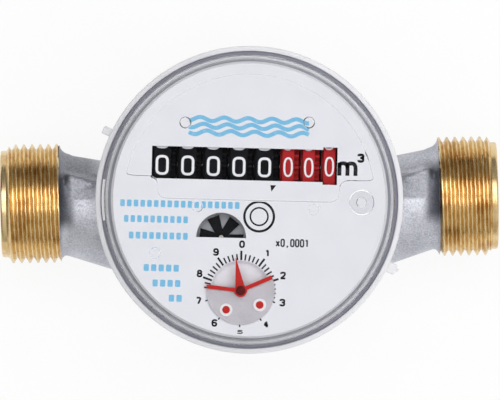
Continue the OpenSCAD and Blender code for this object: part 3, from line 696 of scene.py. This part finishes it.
def turned(points: Array, turn: float = REGISTER_TURN) -> Array:
    """Turns points about the upright axis, by default from the dial's own directions to the meter's."""
    c, s = math.cos(turn), math.sin(turn)
    return points @ np.array([[c, s, 0.0], [-s, c, 0.0], [0.0, 0.0, 1.0]])


def on_dial(u: float, v: float) -> Carry:
    """Gives the carry that lays a flat shape on the dial, u to the right of its middle and v above it."""
    return lambda p: turned(p + np.array([u, v, DIAL_TOP]))


GLYPHS: dict[str, list[tuple[list[Point], bool]]] = {
    "0": [([(0, 0), (1, 0), (1, 1), (0, 1)], True)],
    "1": [([(0.15, 0.8), (0.58, 1), (0.58, 0)], False)],
    "2": [([(0, 0.74), (0, 1), (1, 1), (1, 0.58), (0, 0.02)], False), ([(-0.1, 0), (1.1, 0)], False)],
    "3": [([(0, 0.78), (0, 1), (1, 1), (1, 0.53), (0.35, 0.53)], False),
          ([(0.35, 0.53), (1, 0.53), (1, 0), (0, 0), (0, 0.22)], False)],
    "4": [([(0.72, -0.05), (0.72, 1), (0, 0.28), (1.1, 0.28)], False)],
    "5": [([(1, 1), (0.06, 1), (0.03, 0.58), (1, 0.6), (1, 0), (0, 0), (0, 0.2)], False)],
    "6": [([(1, 0.8), (1, 1), (0, 1), (0, 0), (1, 0), (1, 0.56), (0, 0.56)], False)],
    "7": [([(-0.1, 1), (1, 1), (0.32, -0.05)], False)],
    "8": [([(0, 0), (1, 0), (1, 0.53), (0, 0.53)], True),
          ([(0.08, 0.53), (0.92, 0.53), (0.92, 1), (0.08, 1)], True)],
    "9": [([(0, 0.2), (0, 0), (1, 0), (1, 1), (0, 1), (0, 0.44), (1, 0.44)], False)],
    "m": [([(0, -0.05), (0, 1.05)], False), ([(0, 0.6), (0, 1), (0.5, 1), (0.5, -0.05)], False),
          ([(0.5, 0.6), (0.5, 1), (1, 1), (1, -0.05)], False)],
    "x": [([(0, 0), (1, 0.72)], False), ([(0, 0.72), (1, 0)], False)],
    ",": [([(0.55, 0.1), (0.4, -0.18)], False)],
}


def glyph(sign: str, width: float, height: float, stroke: float, corner: float = 0.42) -> Surface:
    """Draws a number or unit sign about its middle in strokes of one width.

    Args:
        sign: The sign.
        width: Overall width.
        height: Overall height.
        stroke: Width of a stroke.
        corner: Rounding of corners, as a share of the width.

    Returns:
        The flat strokes.
    """
    size = np.array([width - stroke, height - stroke])
    strokes = []
    for corners, closed in GLYPHS[sign]:
        line = softened((np.asarray(corners) - 0.5) * size, corner * width, closed)
        strokes.append(ribbon(resampled(line, 0.16, closed), stroke, closed))
    return Surface.joined(strokes)


@dataclass
class Casing:
    """The cast body and its two threaded pipe ends. end_edge pairs distances from the end face with how far
    the skin is drawn in there, and starts has the place of a crest on each side."""

    end_x: float = 55.0
    end_len: float = 13.0
    crest_r: float = 13.22
    depth: float = 1.162
    pitch: float = 1.814
    crest_flat: float = 0.29
    flank: float = 3.485
    pilot_r: float = 11.85
    pilot_len: float = 1.3
    lead_in: float = 1.75
    bore_r: float = 8.5
    bore_len: float = 10.0
    bore_edge: float = 0.4
    end_edge: tuple = ((0.35, 0.0), (0.12, 0.1), (0.0, 0.3))
    back_r: Point = (10.2, 10.4)
    tuck: float = 0.05
    starts: dict = field(default_factory=lambda: {-1: -51.67, 1: 53.15})
    skin_r: Point = (9.1, 11.4)
    skin_from: float = 0.2
    skin_cut: float = 0.25
    skin_end: float = 0.7
    voxel: float = 0.00056

    def thread_radius(self, a: Array, x: Array, angle: Array, start: float) -> Array:
        """Radius of the threaded skin: the crest's radius less a slope that grows with the distance from the
        crest's helix, held between crest and root, and cut by pilot and lead-in cone near the end face.

        Args:
            a: Distance from the end face.
            x: Place along the pipe.
            angle: Angle from the back towards the top.
            start: Place of a crest at angle 0.

        Returns:
            The radius.
        """
        turn = (x - start) / self.pitch - angle / FULL_TURN
        away = np.abs(turn - np.round(turn))
        slope = self.crest_r + self.crest_flat - self.flank * away
        skin = np.clip(slope, self.crest_r - self.depth, self.crest_r)
        cone = self.pilot_r + np.maximum(a - self.pilot_len, 0.0) * self.lead_in
        return np.minimum(skin, cone)

    def thread(self, side: int) -> Surface:
        """Pipe end as a closed sleeve: threaded skin, end face, bore and a hidden back wall.

        Args:
            side: -1 for the inlet, 1 for the outlet.

        Returns:
            The surface.
        """
        inner = self.end_len + self.tuck
        edge = np.array(self.end_edge)
        along = np.concatenate([np.linspace(inner, self.pilot_len, 144),
                                np.linspace(self.pilot_len - 0.02, edge[0, 0], 5), edge[1:, 0]])
        angle = round_turn(160)
        x = side * (self.end_x - along[:, None]) + 0.0 * angle
        r = self.thread_radius(along[:, None], x, angle[None, :], self.starts[side])
        r[-len(edge):] -= edge[:, 1:]
        back = np.array([[0.0, self.bore_r + self.bore_edge], [self.bore_edge, self.bore_r],
                         [self.bore_len, self.bore_r], [self.bore_len, self.back_r[0]],
                         [inner, self.back_r[1]]])
        x = np.concatenate([x, side * (self.end_x - back[:, :1]) + 0.0 * angle])
        r = np.concatenate([r, back[:, 1:] + 0.0 * angle])
        return grid(np.stack([x, r * np.cos(angle), AXIS_Z + r * np.sin(angle)], axis=-1), True, True)

    def casting(self) -> Mesh:
        """Softened skin of the cast body: a merged copy of the frame's body, its pipe ends drawn in under the
        threads, remeshed so that necks, pads and bowl run into each other.

        Returns:
            The mesh.
        """
        work = bmesh.new()
        work.from_mesh(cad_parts["meter_body"].data)
        bmesh.ops.remove_doubles(work, verts=work.verts, dist=1e-6)
        for side in (-1, 1):
            cut = side * (self.end_x - self.end_len + self.skin_cut) * MM
            bmesh.ops.bisect_plane(work, geom=work.verts[:] + work.edges[:] + work.faces[:], dist=1e-7,
                                   plane_co=(cut, 0.0, 0.0), plane_no=(1.0, 0.0, 0.0))
        raw = bpy.data.meshes.new("casting_raw")
        work.to_mesh(raw)
        work.free()
        points = np.empty(len(raw.vertices) * 3)
        raw.vertices.foreach_get("co", points)
        points = points.reshape(-1, 3) / MM
        y, z = points[:, 1], points[:, 2] - AXIS_Z
        r = np.maximum(np.hypot(y, z), 1e-9)
        end = np.abs(points[:, 0]) > self.end_x - self.end_len + self.skin_from
        bounded = np.where(end, np.clip(r, *self.skin_r), r)
        points[:, 1], points[:, 2] = y * bounded / r, AXIS_Z + z * bounded / r
        points[:, 0] = np.clip(points[:, 0], -self.end_x + self.skin_end, self.end_x - self.skin_end)
        raw.vertices.foreach_set("co", (points * MM).ravel())
        rough = linked("casting_raw", raw)
        remesh = rough.modifiers.new("skin", "REMESH")
        remesh.mode = "VOXEL"
        remesh.voxel_size = self.voxel
        smooth = rough.modifiers.new("soft", "SMOOTH")
        smooth.factor = 0.5
        smooth.iterations = 3
        seen = rough.evaluated_get(bpy.context.evaluated_depsgraph_get())
        mesh = bpy.data.meshes.new_from_object(seen)
        bpy.data.objects.remove(rough)
        return mesh

    def build(self) -> None:
        """Makes the body and both threads."""
        body = placed(self.casting(), "body_casting", "casing", Palette.CASTING, 60.0)
        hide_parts("meter_body")
        for side, name in ((-1, "inlet_thread"), (1, "outlet_thread")):
            self.thread(side).piece(name, "casing", Palette.BRASS, 40.0)


@dataclass
class ClampRing:
    """The white ring that holds the register on the body; a row of tabs has the sizes that tab() takes."""

    outer_r: float = 33.8
    lip_r: float = 32.65
    grip_r: float = 33.1
    lower_r: float = 30.7
    low: float = 29.9
    high: float = 38.6
    lip: float = 1.5
    tabs: tuple = ((153.2, 1.8, 1.9), (-26.7, 2.4, 1.9), (-26.7, 0.7, 2.5, 0.15, 0.4))
    tab_low: float = 31.5
    tab_high: float = 36.9
    tab_root: float = 0.6
    tab_bevel: float = 0.2
    soft: float = 0.35

    def profile(self) -> Array:
        """Gives the ring's cut with rounded outer edges."""
        corners = [(self.lower_r, self.low), (self.outer_r, self.low), (self.outer_r, self.high),
                   (self.lip_r, self.high), (self.lip_r, self.high - self.lip),
                   (self.grip_r, self.high - self.lip), (self.grip_r, self.low + self.lip),
                   (self.lower_r, self.low + self.lip)]
        return softened(corners, self.soft, True, 5)

    def tab(self, angle: float, width: float, reach: float, shift: float = 0.0, sunk: float = 0.0) -> Surface:
        """Tab on the ring's edge: a rounded outline carried up, then turned to its angle.

        Args:
            angle: Direction of the tab in degrees.
            width: Width across.
            reach: Reach past the ring.
            shift: Place across, from the direction's line.
            sunk: Depth of its top and underside inside those of a plain tab.

        Returns:
            The surface.
        """
        depth = reach + self.tab_root
        middle = np.array([self.outer_r - self.tab_root + depth / 2.0, shift])
        outline = rounded_box(depth, width, self.soft) + middle
        form = prism(outline, self.tab_low + sunk, self.tab_high - sunk, self.tab_bevel)
        return form.mapped(lambda p: turned(p, math.radians(angle)))

    def build(self) -> None:
        """Makes the ring and its tabs as one piece."""
        ring = Surface.joined([lathe(self.profile(), 256)] + [self.tab(*sizes) for sizes in self.tabs])
        piece = ring.piece("clamp_ring_white", "casing", Palette.RING_WHITE, 30.0)
        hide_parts("clamp_ring")


@dataclass
class Hood:
    """The clear hood: one closed skin with the lens pad under its window."""

    outer_r: float = 31.4
    inner_r: float = 29.54
    foot: float = 37.02
    under: float = 63.1
    top: float = 65.2
    bevel: float = 0.5
    fillet: float = 0.05
    hold: float = 0.04
    pad_drop: float = 0.3
    pad_r: float = 27.2
    pad_step: float = 4.7
    pad_low: Point = (-19.9, -0.1)
    pad_right: float = 19.4
    pad_corner: float = 2.3
    pad_slope: float = 0.44
    middle: Point = (0.0, 7.0)
    key_turn: float = 80.4
    key_w: float = 4.0
    key_depth: float = 0.12
    key_soft: float = 0.4
    key_top: Point = (2.4, 1.2)
    boss_at: Point = (24.3, 0.0)
    boss_lift: float = 0.25
    ejectors: tuple = ((-14.2, 16.35), (12.5, 17.0), (-20.1, -12.0), (-11.2, -1.75), (14.1, -1.7))
    # The white rib of painted light in the dust seal's slit.
    rib_r: float = 31.97
    rib_w: float = 0.92
    rib_top: float = 38.15
    rib_span: Point = (170.9, 187.1)

    def pad_outline(self) -> Array:
        """Outline of the lens pad: a circle's upper part down to a step, then a narrower block over the
        drums' front edge, with rounded corners and evenly spaced points.

        Returns:
            The closed outline.
        """
        reach = math.asin(self.pad_step / self.pad_r)
        round_part = self.pad_r * compass(np.linspace(reach, math.pi - reach, 60))
        block = [(self.pad_low[0], self.pad_step), self.pad_low, (self.pad_right, self.pad_low[1]),
                 (self.pad_right, self.pad_step)]
        line = softened(np.concatenate([round_part, block]), self.pad_corner, True)
        return resampled(line, 0.33, True)

    def skin(self) -> Surface:
        """Closed skin in rows: the pad's middle, its softly sloped edge, the window's underside out to a
        circle, the inner wall, the foot, the outer wall with its bevel and key, and the top's middle. Each
        column follows one ray from the pad's middle through a point of its outline.

        Returns:
            The surface.
        """
        middle = np.array(self.middle)
        outline = self.pad_outline()
        edge = np.roll(outline, -1, axis=0) - np.roll(outline, 1, axis=0)
        outward = directions(np.column_stack([edge[:, 1], -edge[:, 0]]))
        ray = directions(outline - middle)
        along = ray @ middle
        rim_r = self.inner_r - self.fillet
        rim = middle + ray * (-along + np.sqrt(along ** 2 - middle @ middle + rim_r ** 2))[:, None]
        low = self.under - self.pad_drop
        slope = self.pad_slope / 2.0 + self.hold
        rows = [(middle + 0.0 * outline, low), ((middle + outline) / 2.0, low),
                (outline - outward * slope, low)]
        rows += [(outline + outward * self.pad_slope * (t - 0.5),
                  low + self.pad_drop * t * t * (3.0 - 2.0 * t)) for t in np.linspace(0.0, 1.0, 7)]
        rows += [(outline + outward * slope, self.under), ((outline + rim) / 2.0, self.under),
                 (rim - ray * 0.05, self.under), (rim, self.under)]
        around = directions(rim)
        bearing = np.degrees(np.arctan2(around[:, 1], around[:, 0]))
        off = np.abs((bearing - self.key_turn + 180.0) % 360.0 - 180.0)
        half = math.degrees(self.key_w / 2.0 / self.outer_r)
        key = (np.clip((half - off) / self.key_soft, 0.0, 1.0) * self.key_depth)[:, None]
        side, brim, blunt = self.top - self.bevel, self.outer_r - self.bevel, 0.3 * self.bevel
        wall = [(self.inner_r - 0.02, self.under - 0.02, 0), (self.inner_r, self.under - self.fillet, 0),
                (self.inner_r, self.foot, 0), (self.outer_r, self.foot, 0),
                (self.outer_r, self.top - self.key_top[0], 0), (self.outer_r, self.top - self.key_top[1], 1),
                (self.outer_r, side - self.hold, 1), (self.outer_r, side, 1),
                (self.outer_r - blunt, self.top - blunt, 1), (brim, self.top, 1),
                (brim - self.hold, self.top, 1), (self.outer_r - 1.6, self.top, 0), (20.0, self.top, 0),
                (0.0, self.top, 0)]
        rows += [(around * (r - cut * key), z) for r, z, cut in wall]
        return grid(np.stack([lifted(ring, z) for ring, z in rows]), True, False).mapped(turned)

    def marks(self) -> Surface:
        """Boss and shallow ejector rings just under the window, each a turned ring.

        Returns:
            The surface.
        """
        top, foot = self.under - 0.02, DIAL_TOP + self.boss_lift
        boss = [(1.0, top), (1.05, foot + 0.1), (1.14, foot), (2.58, foot), (2.68, foot + 0.1), (2.72, top)]
        ring = [(1.05, top), (1.16, top - 0.18), (1.27, top)]
        forms = [lathe(boss, 64, self.boss_at)] + [lathe(ring, 48, place) for place in self.ejectors]
        return Surface.joined(forms).mapped(turned)

    def painted_light_rib(self) -> Surface:
        """Gives a white rib in the dust seal's slit, painted light that stands in for the bright light seen
        in the slit: a stroke along an arc, carried up.
        """
        arc = self.rib_r * compass(np.radians(np.linspace(*self.rib_span, 32)))
        return ribbon(arc, self.rib_w, False, self.foot, self.rib_top)

    def build(self) -> None:
        """Makes the hood, the marks under it and, beside it, the white rib of painted light."""
        hood = self.skin().piece("hood_skin", "register", Palette.HOOD, 30.0)
        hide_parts("register_cover")
        self.marks().piece("hood_marks", "register", Palette.HOOD, 30.0)
        self.painted_light_rib().piece("painted_light_rib", "register", Palette.INK_WHITE, 30.0)


@dataclass
class DialPrint:
    """Everything printed on the dial: scale, numbers, unit and plain ornament. Ticks are counted clockwise
    from the top; each of the lines has its middle, its height on the dial and its width."""

    hub: Point = (-1.43, -19.66)
    ticks: int = 50
    tick_in: float = 6.56
    tick_low: float = 7.9
    tick_out: float = 8.6
    tick_short: float = 7.66
    tick_under: float = 7.95
    long_stroke: float = 0.44
    low_stroke: float = 0.34
    under_stroke: float = 0.3
    under_from: int = 10
    bare_from: int = 15
    under_to: int = 38
    number_at: Point = (-1.33, -19.15)
    number_r: float = 9.5
    number_w: float = 1.25
    number_size: Point = (1.65, 0.4)
    small_size: Point = (0.85, 0.2)
    unit_at: Point = (21.1, 7.12)
    power_at: Point = (23.95, 9.6)
    wedge_at: Point = (5.1, 2.58)
    factor_at: Point = (9.55, -9.14)
    factor_half: float = 3.15
    rings_at: Point = (2.22, -3.58)
    ring_sizes: tuple = ((3.2, 96, 0.52), (1.9, 64, 0.36))
    wave_at: Point = (-0.45, 15.8)
    wave_half: float = 13.0
    wave_length: float = 5.2
    wave_height: float = 0.42
    wave_step: float = 1.45
    wave_shift: float = 0.9
    wave_stroke: float = 0.9
    bar_pitch: float = 1.5
    bar_h: float = 1.5
    bar_gap: float = 0.48
    clear_r: float = 27.6
    lines: tuple = ((-15.0, -1.3, 26.3), (-20.1, -4.67, 14.3), (-19.5, -8.24, 13.2), (-18.7, -15.2, 8.1),
                    (-17.5, -18.5, 6.5), (-15.5, -21.7, 3.3))

    def scale(self) -> Surface:
        """Ticks around the pointer's opening, fifty to a turn and every fifth one longer. Around the
        pointer's plate they are shorter, and further round only those at the numbers show.

        Returns:
            The printed scale.
        """
        parts = []
        for k in range(self.ticks):
            numbered, under = k % 5 == 0, self.under_from < k < self.under_to
            if under and k > self.bare_from and not numbered:
                continue
            long, short = (self.tick_under, self.tick_short) if under else (self.tick_out, self.tick_low)
            reach, stroke = (long, self.long_stroke) if numbered else (short, self.low_stroke)
            ray = compass(math.pi / 2.0 - FULL_TURN * k / self.ticks)
            line = np.stack([ray * self.tick_in, ray * reach])
            parts.append(ribbon(line, self.under_stroke if under else stroke, False))
        return Surface.joined(parts).mapped(on_dial(*self.hub))

    def numbers(self) -> Surface:
        """Upright numbers 0 to 9 around the scale, clockwise; the 5 is printed small.

        Returns:
            The printed numbers.
        """
        signs = []
        for k in range(10):
            size = self.small_size if k == 5 else self.number_size
            place = self.number_at + self.number_r * compass(math.radians(90.0 - 36.0 * k))
            signs.append(glyph(str(k), self.number_w, *size).mapped(on_dial(*place)))
        return Surface.joined(signs)

    def unit(self) -> Surface:
        """Gives the unit sign right of the drums, m with a raised 3, and the decimal wedge."""
        wedge = prism(np.array([(-0.62, 0.7), (-0.35, -0.7), (0.62, 0.7)]))
        return Surface.joined([
            glyph("m", 4.35, 3.4, 0.86, 0.28).mapped(on_dial(*self.unit_at)),
            glyph("3", 1.5, 2.0, 0.55).mapped(on_dial(*self.power_at)),
            wedge.mapped(on_dial(*self.wedge_at))])

    def factor(self) -> Surface:
        """Gives the factor of the pointer's scale in small grey signs."""
        places = self.factor_at[0] + np.linspace(-self.factor_half, self.factor_half, 7)
        return Surface.joined([glyph(sign, 0.97, 1.82, 0.33).mapped(on_dial(place, self.factor_at[1]))
                               for sign, place in zip("x0,0001", places)])

    def rings(self) -> Surface:
        """Gives two plain rings below the number row."""
        flat = [ribbon(r * compass(round_turn(n)), stroke, True) for r, n, stroke in self.ring_sizes]
        return Surface.joined(flat).mapped(on_dial(*self.rings_at))

    def ornament(self) -> Surface:
        """Water lines above the number row, each a sine wave, and rows of plain bars at the left.

        Returns:
            The printed ornament.
        """
        u = np.linspace(-self.wave_half, self.wave_half, 180)
        parts = []
        for row in range(3):
            phase = u * FULL_TURN / self.wave_length + row * self.wave_shift
            wave = np.column_stack([u, self.wave_height * np.sin(phase)])
            v = self.wave_at[1] + self.wave_step * (row - 1)
            parts.append(ribbon(wave, self.wave_stroke, False).mapped(on_dial(self.wave_at[0], v)))
        for u_middle, v, width in self.lines:
            count = int(round(width / self.bar_pitch))
            step = width / count
            bar = prism(rounded_box(step - self.bar_gap, self.bar_h, 0.3))
            places = u_middle - width / 2.0 + step * (np.arange(count) + 0.5)
            parts += [bar.mapped(on_dial(place, v)) for place in places[np.hypot(places, v) < self.clear_r]]
        return Surface.joined(parts)

    def build(self) -> None:
        """Makes each ink's print as one piece."""
        for name, form, ink in (
                ("scale", self.scale(), Palette.INK_BLACK), ("numbers", self.numbers(), Palette.INK_BLACK),
                ("unit", self.unit(), Palette.INK_BLACK), ("factor", self.factor(), Palette.INK_GREY),
                ("rings", self.rings(), Palette.INK_BLACK), ("ornament", self.ornament(), Palette.INK_BLUE)):
            form.piece(f"print_{name}", "register", ink)


@dataclass
class DrumRow:
    """The eight number drums with their digits."""

    radius: float = 9.3
    v: float = 7.4
    z: float = 51.0
    first: float = -19.05
    black_pitch: float = 5.545
    red_first: float = 8.24
    red_pitch: float = 4.46
    black: int = 5
    count: int = 8
    black_sign: tuple = (2.85, 4.35, 0.56, 0.36)
    red_sign: tuple = (2.05, 4.3, 0.42, 1.0)

    def middle(self, drum: int) -> float:
        """Gives the place of a drum's middle along the row, counted from 1."""
        black, red = drum - 1, drum - 1 - self.black
        return self.first + black * self.black_pitch if red < 0 else self.red_first + red * self.red_pitch

    def slip(self, drum: int) -> float:
        """Gives how far a drum's digits stand behind the drum's top, as its print is set."""
        return -0.3 if drum <= self.black else (0.2 if drum == self.count else -0.12)

    def wrapped(self, drum: int, digit: int, p: Array) -> Array:
        """Lays a flat digit on a drum: its height becomes an arc around the drum's axis.

        Args:
            drum: The drum, counted from 1.
            digit: The digit, which sets its turn around the drum.
            p: The digit's flat points.

        Returns:
            The points in the meter's frame.
        """
        angle = (self.slip(drum) + p[:, 1]) / self.radius - math.radians(36.0 * digit)
        reach = self.radius + p[:, 2]
        return turned(np.column_stack([self.middle(drum) + p[:, 0], self.v + reach * np.sin(angle),
                                       self.z + reach * np.cos(angle)]))

    def build(self) -> None:
        """Makes each drum's ten digits as one piece."""
        for drum in range(1, self.count + 1):
            size = self.black_sign if drum <= self.black else self.red_sign
            digits = [glyph(str(d), *size).mapped(lambda p: self.wrapped(drum, d, p)) for d in range(10)]
            Surface.joined(digits).piece(f"digits_{drum}", f"drum_{drum}", Palette.INK_WHITE)


@dataclass
class PointerTrim:
    """Rivet collars and hub stud on the pointer."""

    hub: Point = (-1.4228, -19.6757)
    turn: float = 99.5
    rivet_reach: float = 5.2
    rivet_spread: float = 135.0
    collar_r: Point = (0.82, 1.4)
    collar_z: Point = (61.6, 61.85)
    collar_soft: float = 0.1
    hub_z: float = 62.45

    def build(self) -> None:
        """Makes the two collars and the stud."""
        (inner, outer), (low, high) = self.collar_r, self.collar_z
        cut = softened([(inner, low), (outer, low), (outer, high), (inner, high)], self.collar_soft, True, 3)
        turns = [math.radians(self.turn + side * self.rivet_spread) for side in (-1, 1)]
        collars = [lathe(cut, 48, self.hub + self.rivet_reach * compass(a)).mapped(turned) for a in turns]
        Surface.joined(collars).piece("rivet_collars", "pointer", Palette.CUP_WHITE)
        dome = [(0.0, self.hub_z - 0.05), (1.05, self.hub_z - 0.05), (1.05, self.hub_z + 0.06),
                (0.8, self.hub_z + 0.14), (0.0, self.hub_z + 0.17)]
        lathe(dome, 48, self.hub).mapped(turned).piece("hub_stud", "pointer", Palette.HUB_MAROON)


class FrameDress:
    """Finishes of the frame's own nodes; the gears and arbors, which aren't listed, share one."""

    NODES = {
        Palette.CUP_WHITE: "inlet_strainer pressure_plate upper_bearing impeller register_base",
        Palette.STEEL: "impeller_pivot roller_shaft pinion_shaft",
        Palette.BRASS: "retaining_ring",
        Palette.SEAL_BLACK: "pressure_plate_seal",
        Palette.SEAL_PALE: "cover_seal",
        Palette.SEAL_GREY: "dust_seal",
        Palette.MAGNET: "impeller_magnet follower_magnet",
        Palette.JEWEL: "pivot_jewel",
        Palette.FRAME_WHITE: "roller_frame gear_plate",
        Palette.DIAL_WHITE: "dial_plate",
        Palette.STAR_DISH: "star_disc",
        Palette.STAR_BLACK: "flow_star",
        Palette.POINTER_RED: "pointer",
        Palette.SHEET: "modulator_plate",
        Palette.DRUM_BLACK: "drum_1 drum_2 drum_3 drum_4 drum_5",
        Palette.DRUM_RED: "drum_6 drum_7 drum_8",
    }

    def build(self) -> None:
        """Gives every node its finish."""
        finishes = {name: finish for finish, names in self.NODES.items() for name in names.split()}
        for name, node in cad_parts.items():
            finish = finishes.get(name, Palette.GEAR_IVORY)
            node.data.materials.clear()
            node.data.materials.append(finish.material())
            LOG.info("%s: %s", name, finish.value.name)


@dataclass
class Studio:
    """Floor, soft light and camera, in metres. Each sky range carries a direction's part to a brightness."""

    floor_half: float = 4.0
    floor_z: float = -0.0002
    floor_glow: float = 0.88
    panel_x: float = 0.05
    panel_z: float = 1.2
    panel_light: float = 2.3
    panels: tuple = ((-0.30, -0.055), (0.055, 0.69))
    panel_length: float = 1.7
    sky_aside: Range = (-0.85, 0.6, 0.1435, 0.574)
    sky_fore: Range = (-0.5, 0.6, 1.65, 0.6)
    sky_horizon: Range = (0.0, 0.45, 0.5, 1.0)
    sky_zenith: Range = (0.985, 0.998, 1.0, 0.08)
    camera_at: tuple = (0.000154, -0.000044, 1.718)
    camera_turn: float = -1.0
    lens: float = 550.8
    sensor: float = 36.0

    def floor(self) -> None:
        """Makes the pale floor as a wide flat grid, which shows white and keeps the meter's shadow."""
        line = np.linspace(-self.floor_half, self.floor_half, 9)
        x, y = np.meshgrid(line, line)
        flat = grid(np.stack([x, y, np.full_like(x, self.floor_z)], axis=-1), False, False)
        mesh = flat.mesh("floor", 1.0)
        material, recipe = fresh("floor_white")
        speck = recipe.remap(recipe.noise(60.0, 2.0), 0.3, 0.7)
        matt = recipe.node("BsdfDiffuse", {"Color": recipe.mix(speck, tone(252, 252, 252), WHITE)})
        rays = recipe.node("LightPath", output="Is Camera Ray")
        seen = rays + rays.sibling("Is Glossy Ray") + rays.sibling("Is Transmission Ray")
        glow = recipe.node("Emission", {"Color": WHITE, "Strength": 1.0})
        share = seen.math("MINIMUM", seen, 1.0) * self.floor_glow
        recipe.surface(recipe.node("MixShader", {0: share, 1: matt, 2: glow}))
        mesh.materials.append(material)
        linked("floor", mesh)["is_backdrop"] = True

    def lights(self) -> None:
        """Hangs two soft panels over the meter and sets a dim sky: brighter to the right and in front, and
        darkest straight above, where the hood would mirror it."""
        for number, (front, back) in enumerate(self.panels):
            depth = back - front
            lamp = bpy.data.lights.new(f"panel_{number}", "AREA")
            lamp.shape = "RECTANGLE"
            lamp.size = self.panel_length
            lamp.size_y = depth
            lamp.energy = self.panel_light * math.pi * self.panel_length * depth
            thing = linked(f"panel_{number}", lamp)
            thing.location = (self.panel_x, (front + back) / 2.0, self.panel_z)
            thing.visible_camera = False
        sky = bpy.data.worlds.new("sky")
        sky.use_nodes = True
        recipe = Recipe(sky.node_tree)
        upward = recipe.node("SeparateXYZ", {0: recipe.node("TexCoord", output="Generated")}, "Z")
        aside = recipe.remap(upward.sibling("X"), *self.sky_aside)
        fore = recipe.remap(upward.sibling("Y"), *self.sky_fore)
        horizon, zenith = (recipe.remap(upward, *sky) for sky in (self.sky_horizon, self.sky_zenith))
        glow = recipe.node("Background", {"Color": WHITE, "Strength": aside * fore * horizon * zenith})
        recipe.node("OutputWorld", {"Surface": glow})
        bpy.context.scene.world = sky

    def camera(self) -> None:
        """Puts the camera straight above the dial, turned as the picture is."""
        lens = bpy.data.cameras.new("camera")
        lens.lens = self.lens
        lens.sensor_width = self.sensor
        lens.sensor_fit = "HORIZONTAL"
        lens.clip_end = 20.0
        thing = linked("camera", lens)
        thing.location = self.camera_at
        thing.rotation_euler = (0.0, 0.0, math.radians(self.camera_turn))
        bpy.context.scene.camera = thing

    def build(self) -> None:
        """Sets the whole studio."""
        self.floor()
        self.lights()
        self.camera()
        bpy.context.scene.view_settings.view_transform = "Standard"


def corners(box: Sequence) -> list[list[float]]:
    """Gives a box's two corners as plain lists."""
    return [[float(c) for c in corner] for corner in box]


def main() -> None:
    """Builds the sub-assemblies in order and works out the model's box before and after."""
    logging.basicConfig(level=logging.INFO, format="%(message)s")
    cad = corners(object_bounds())
    FrameDress().build()
    for part in (Casing(), ClampRing(), Hood(), DialPrint(), DrumRow(), PointerTrim(), Studio()):
        part.build()
    {"cad": cad, "visual": corners(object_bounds())}


if __name__ == "__main__":
    main()
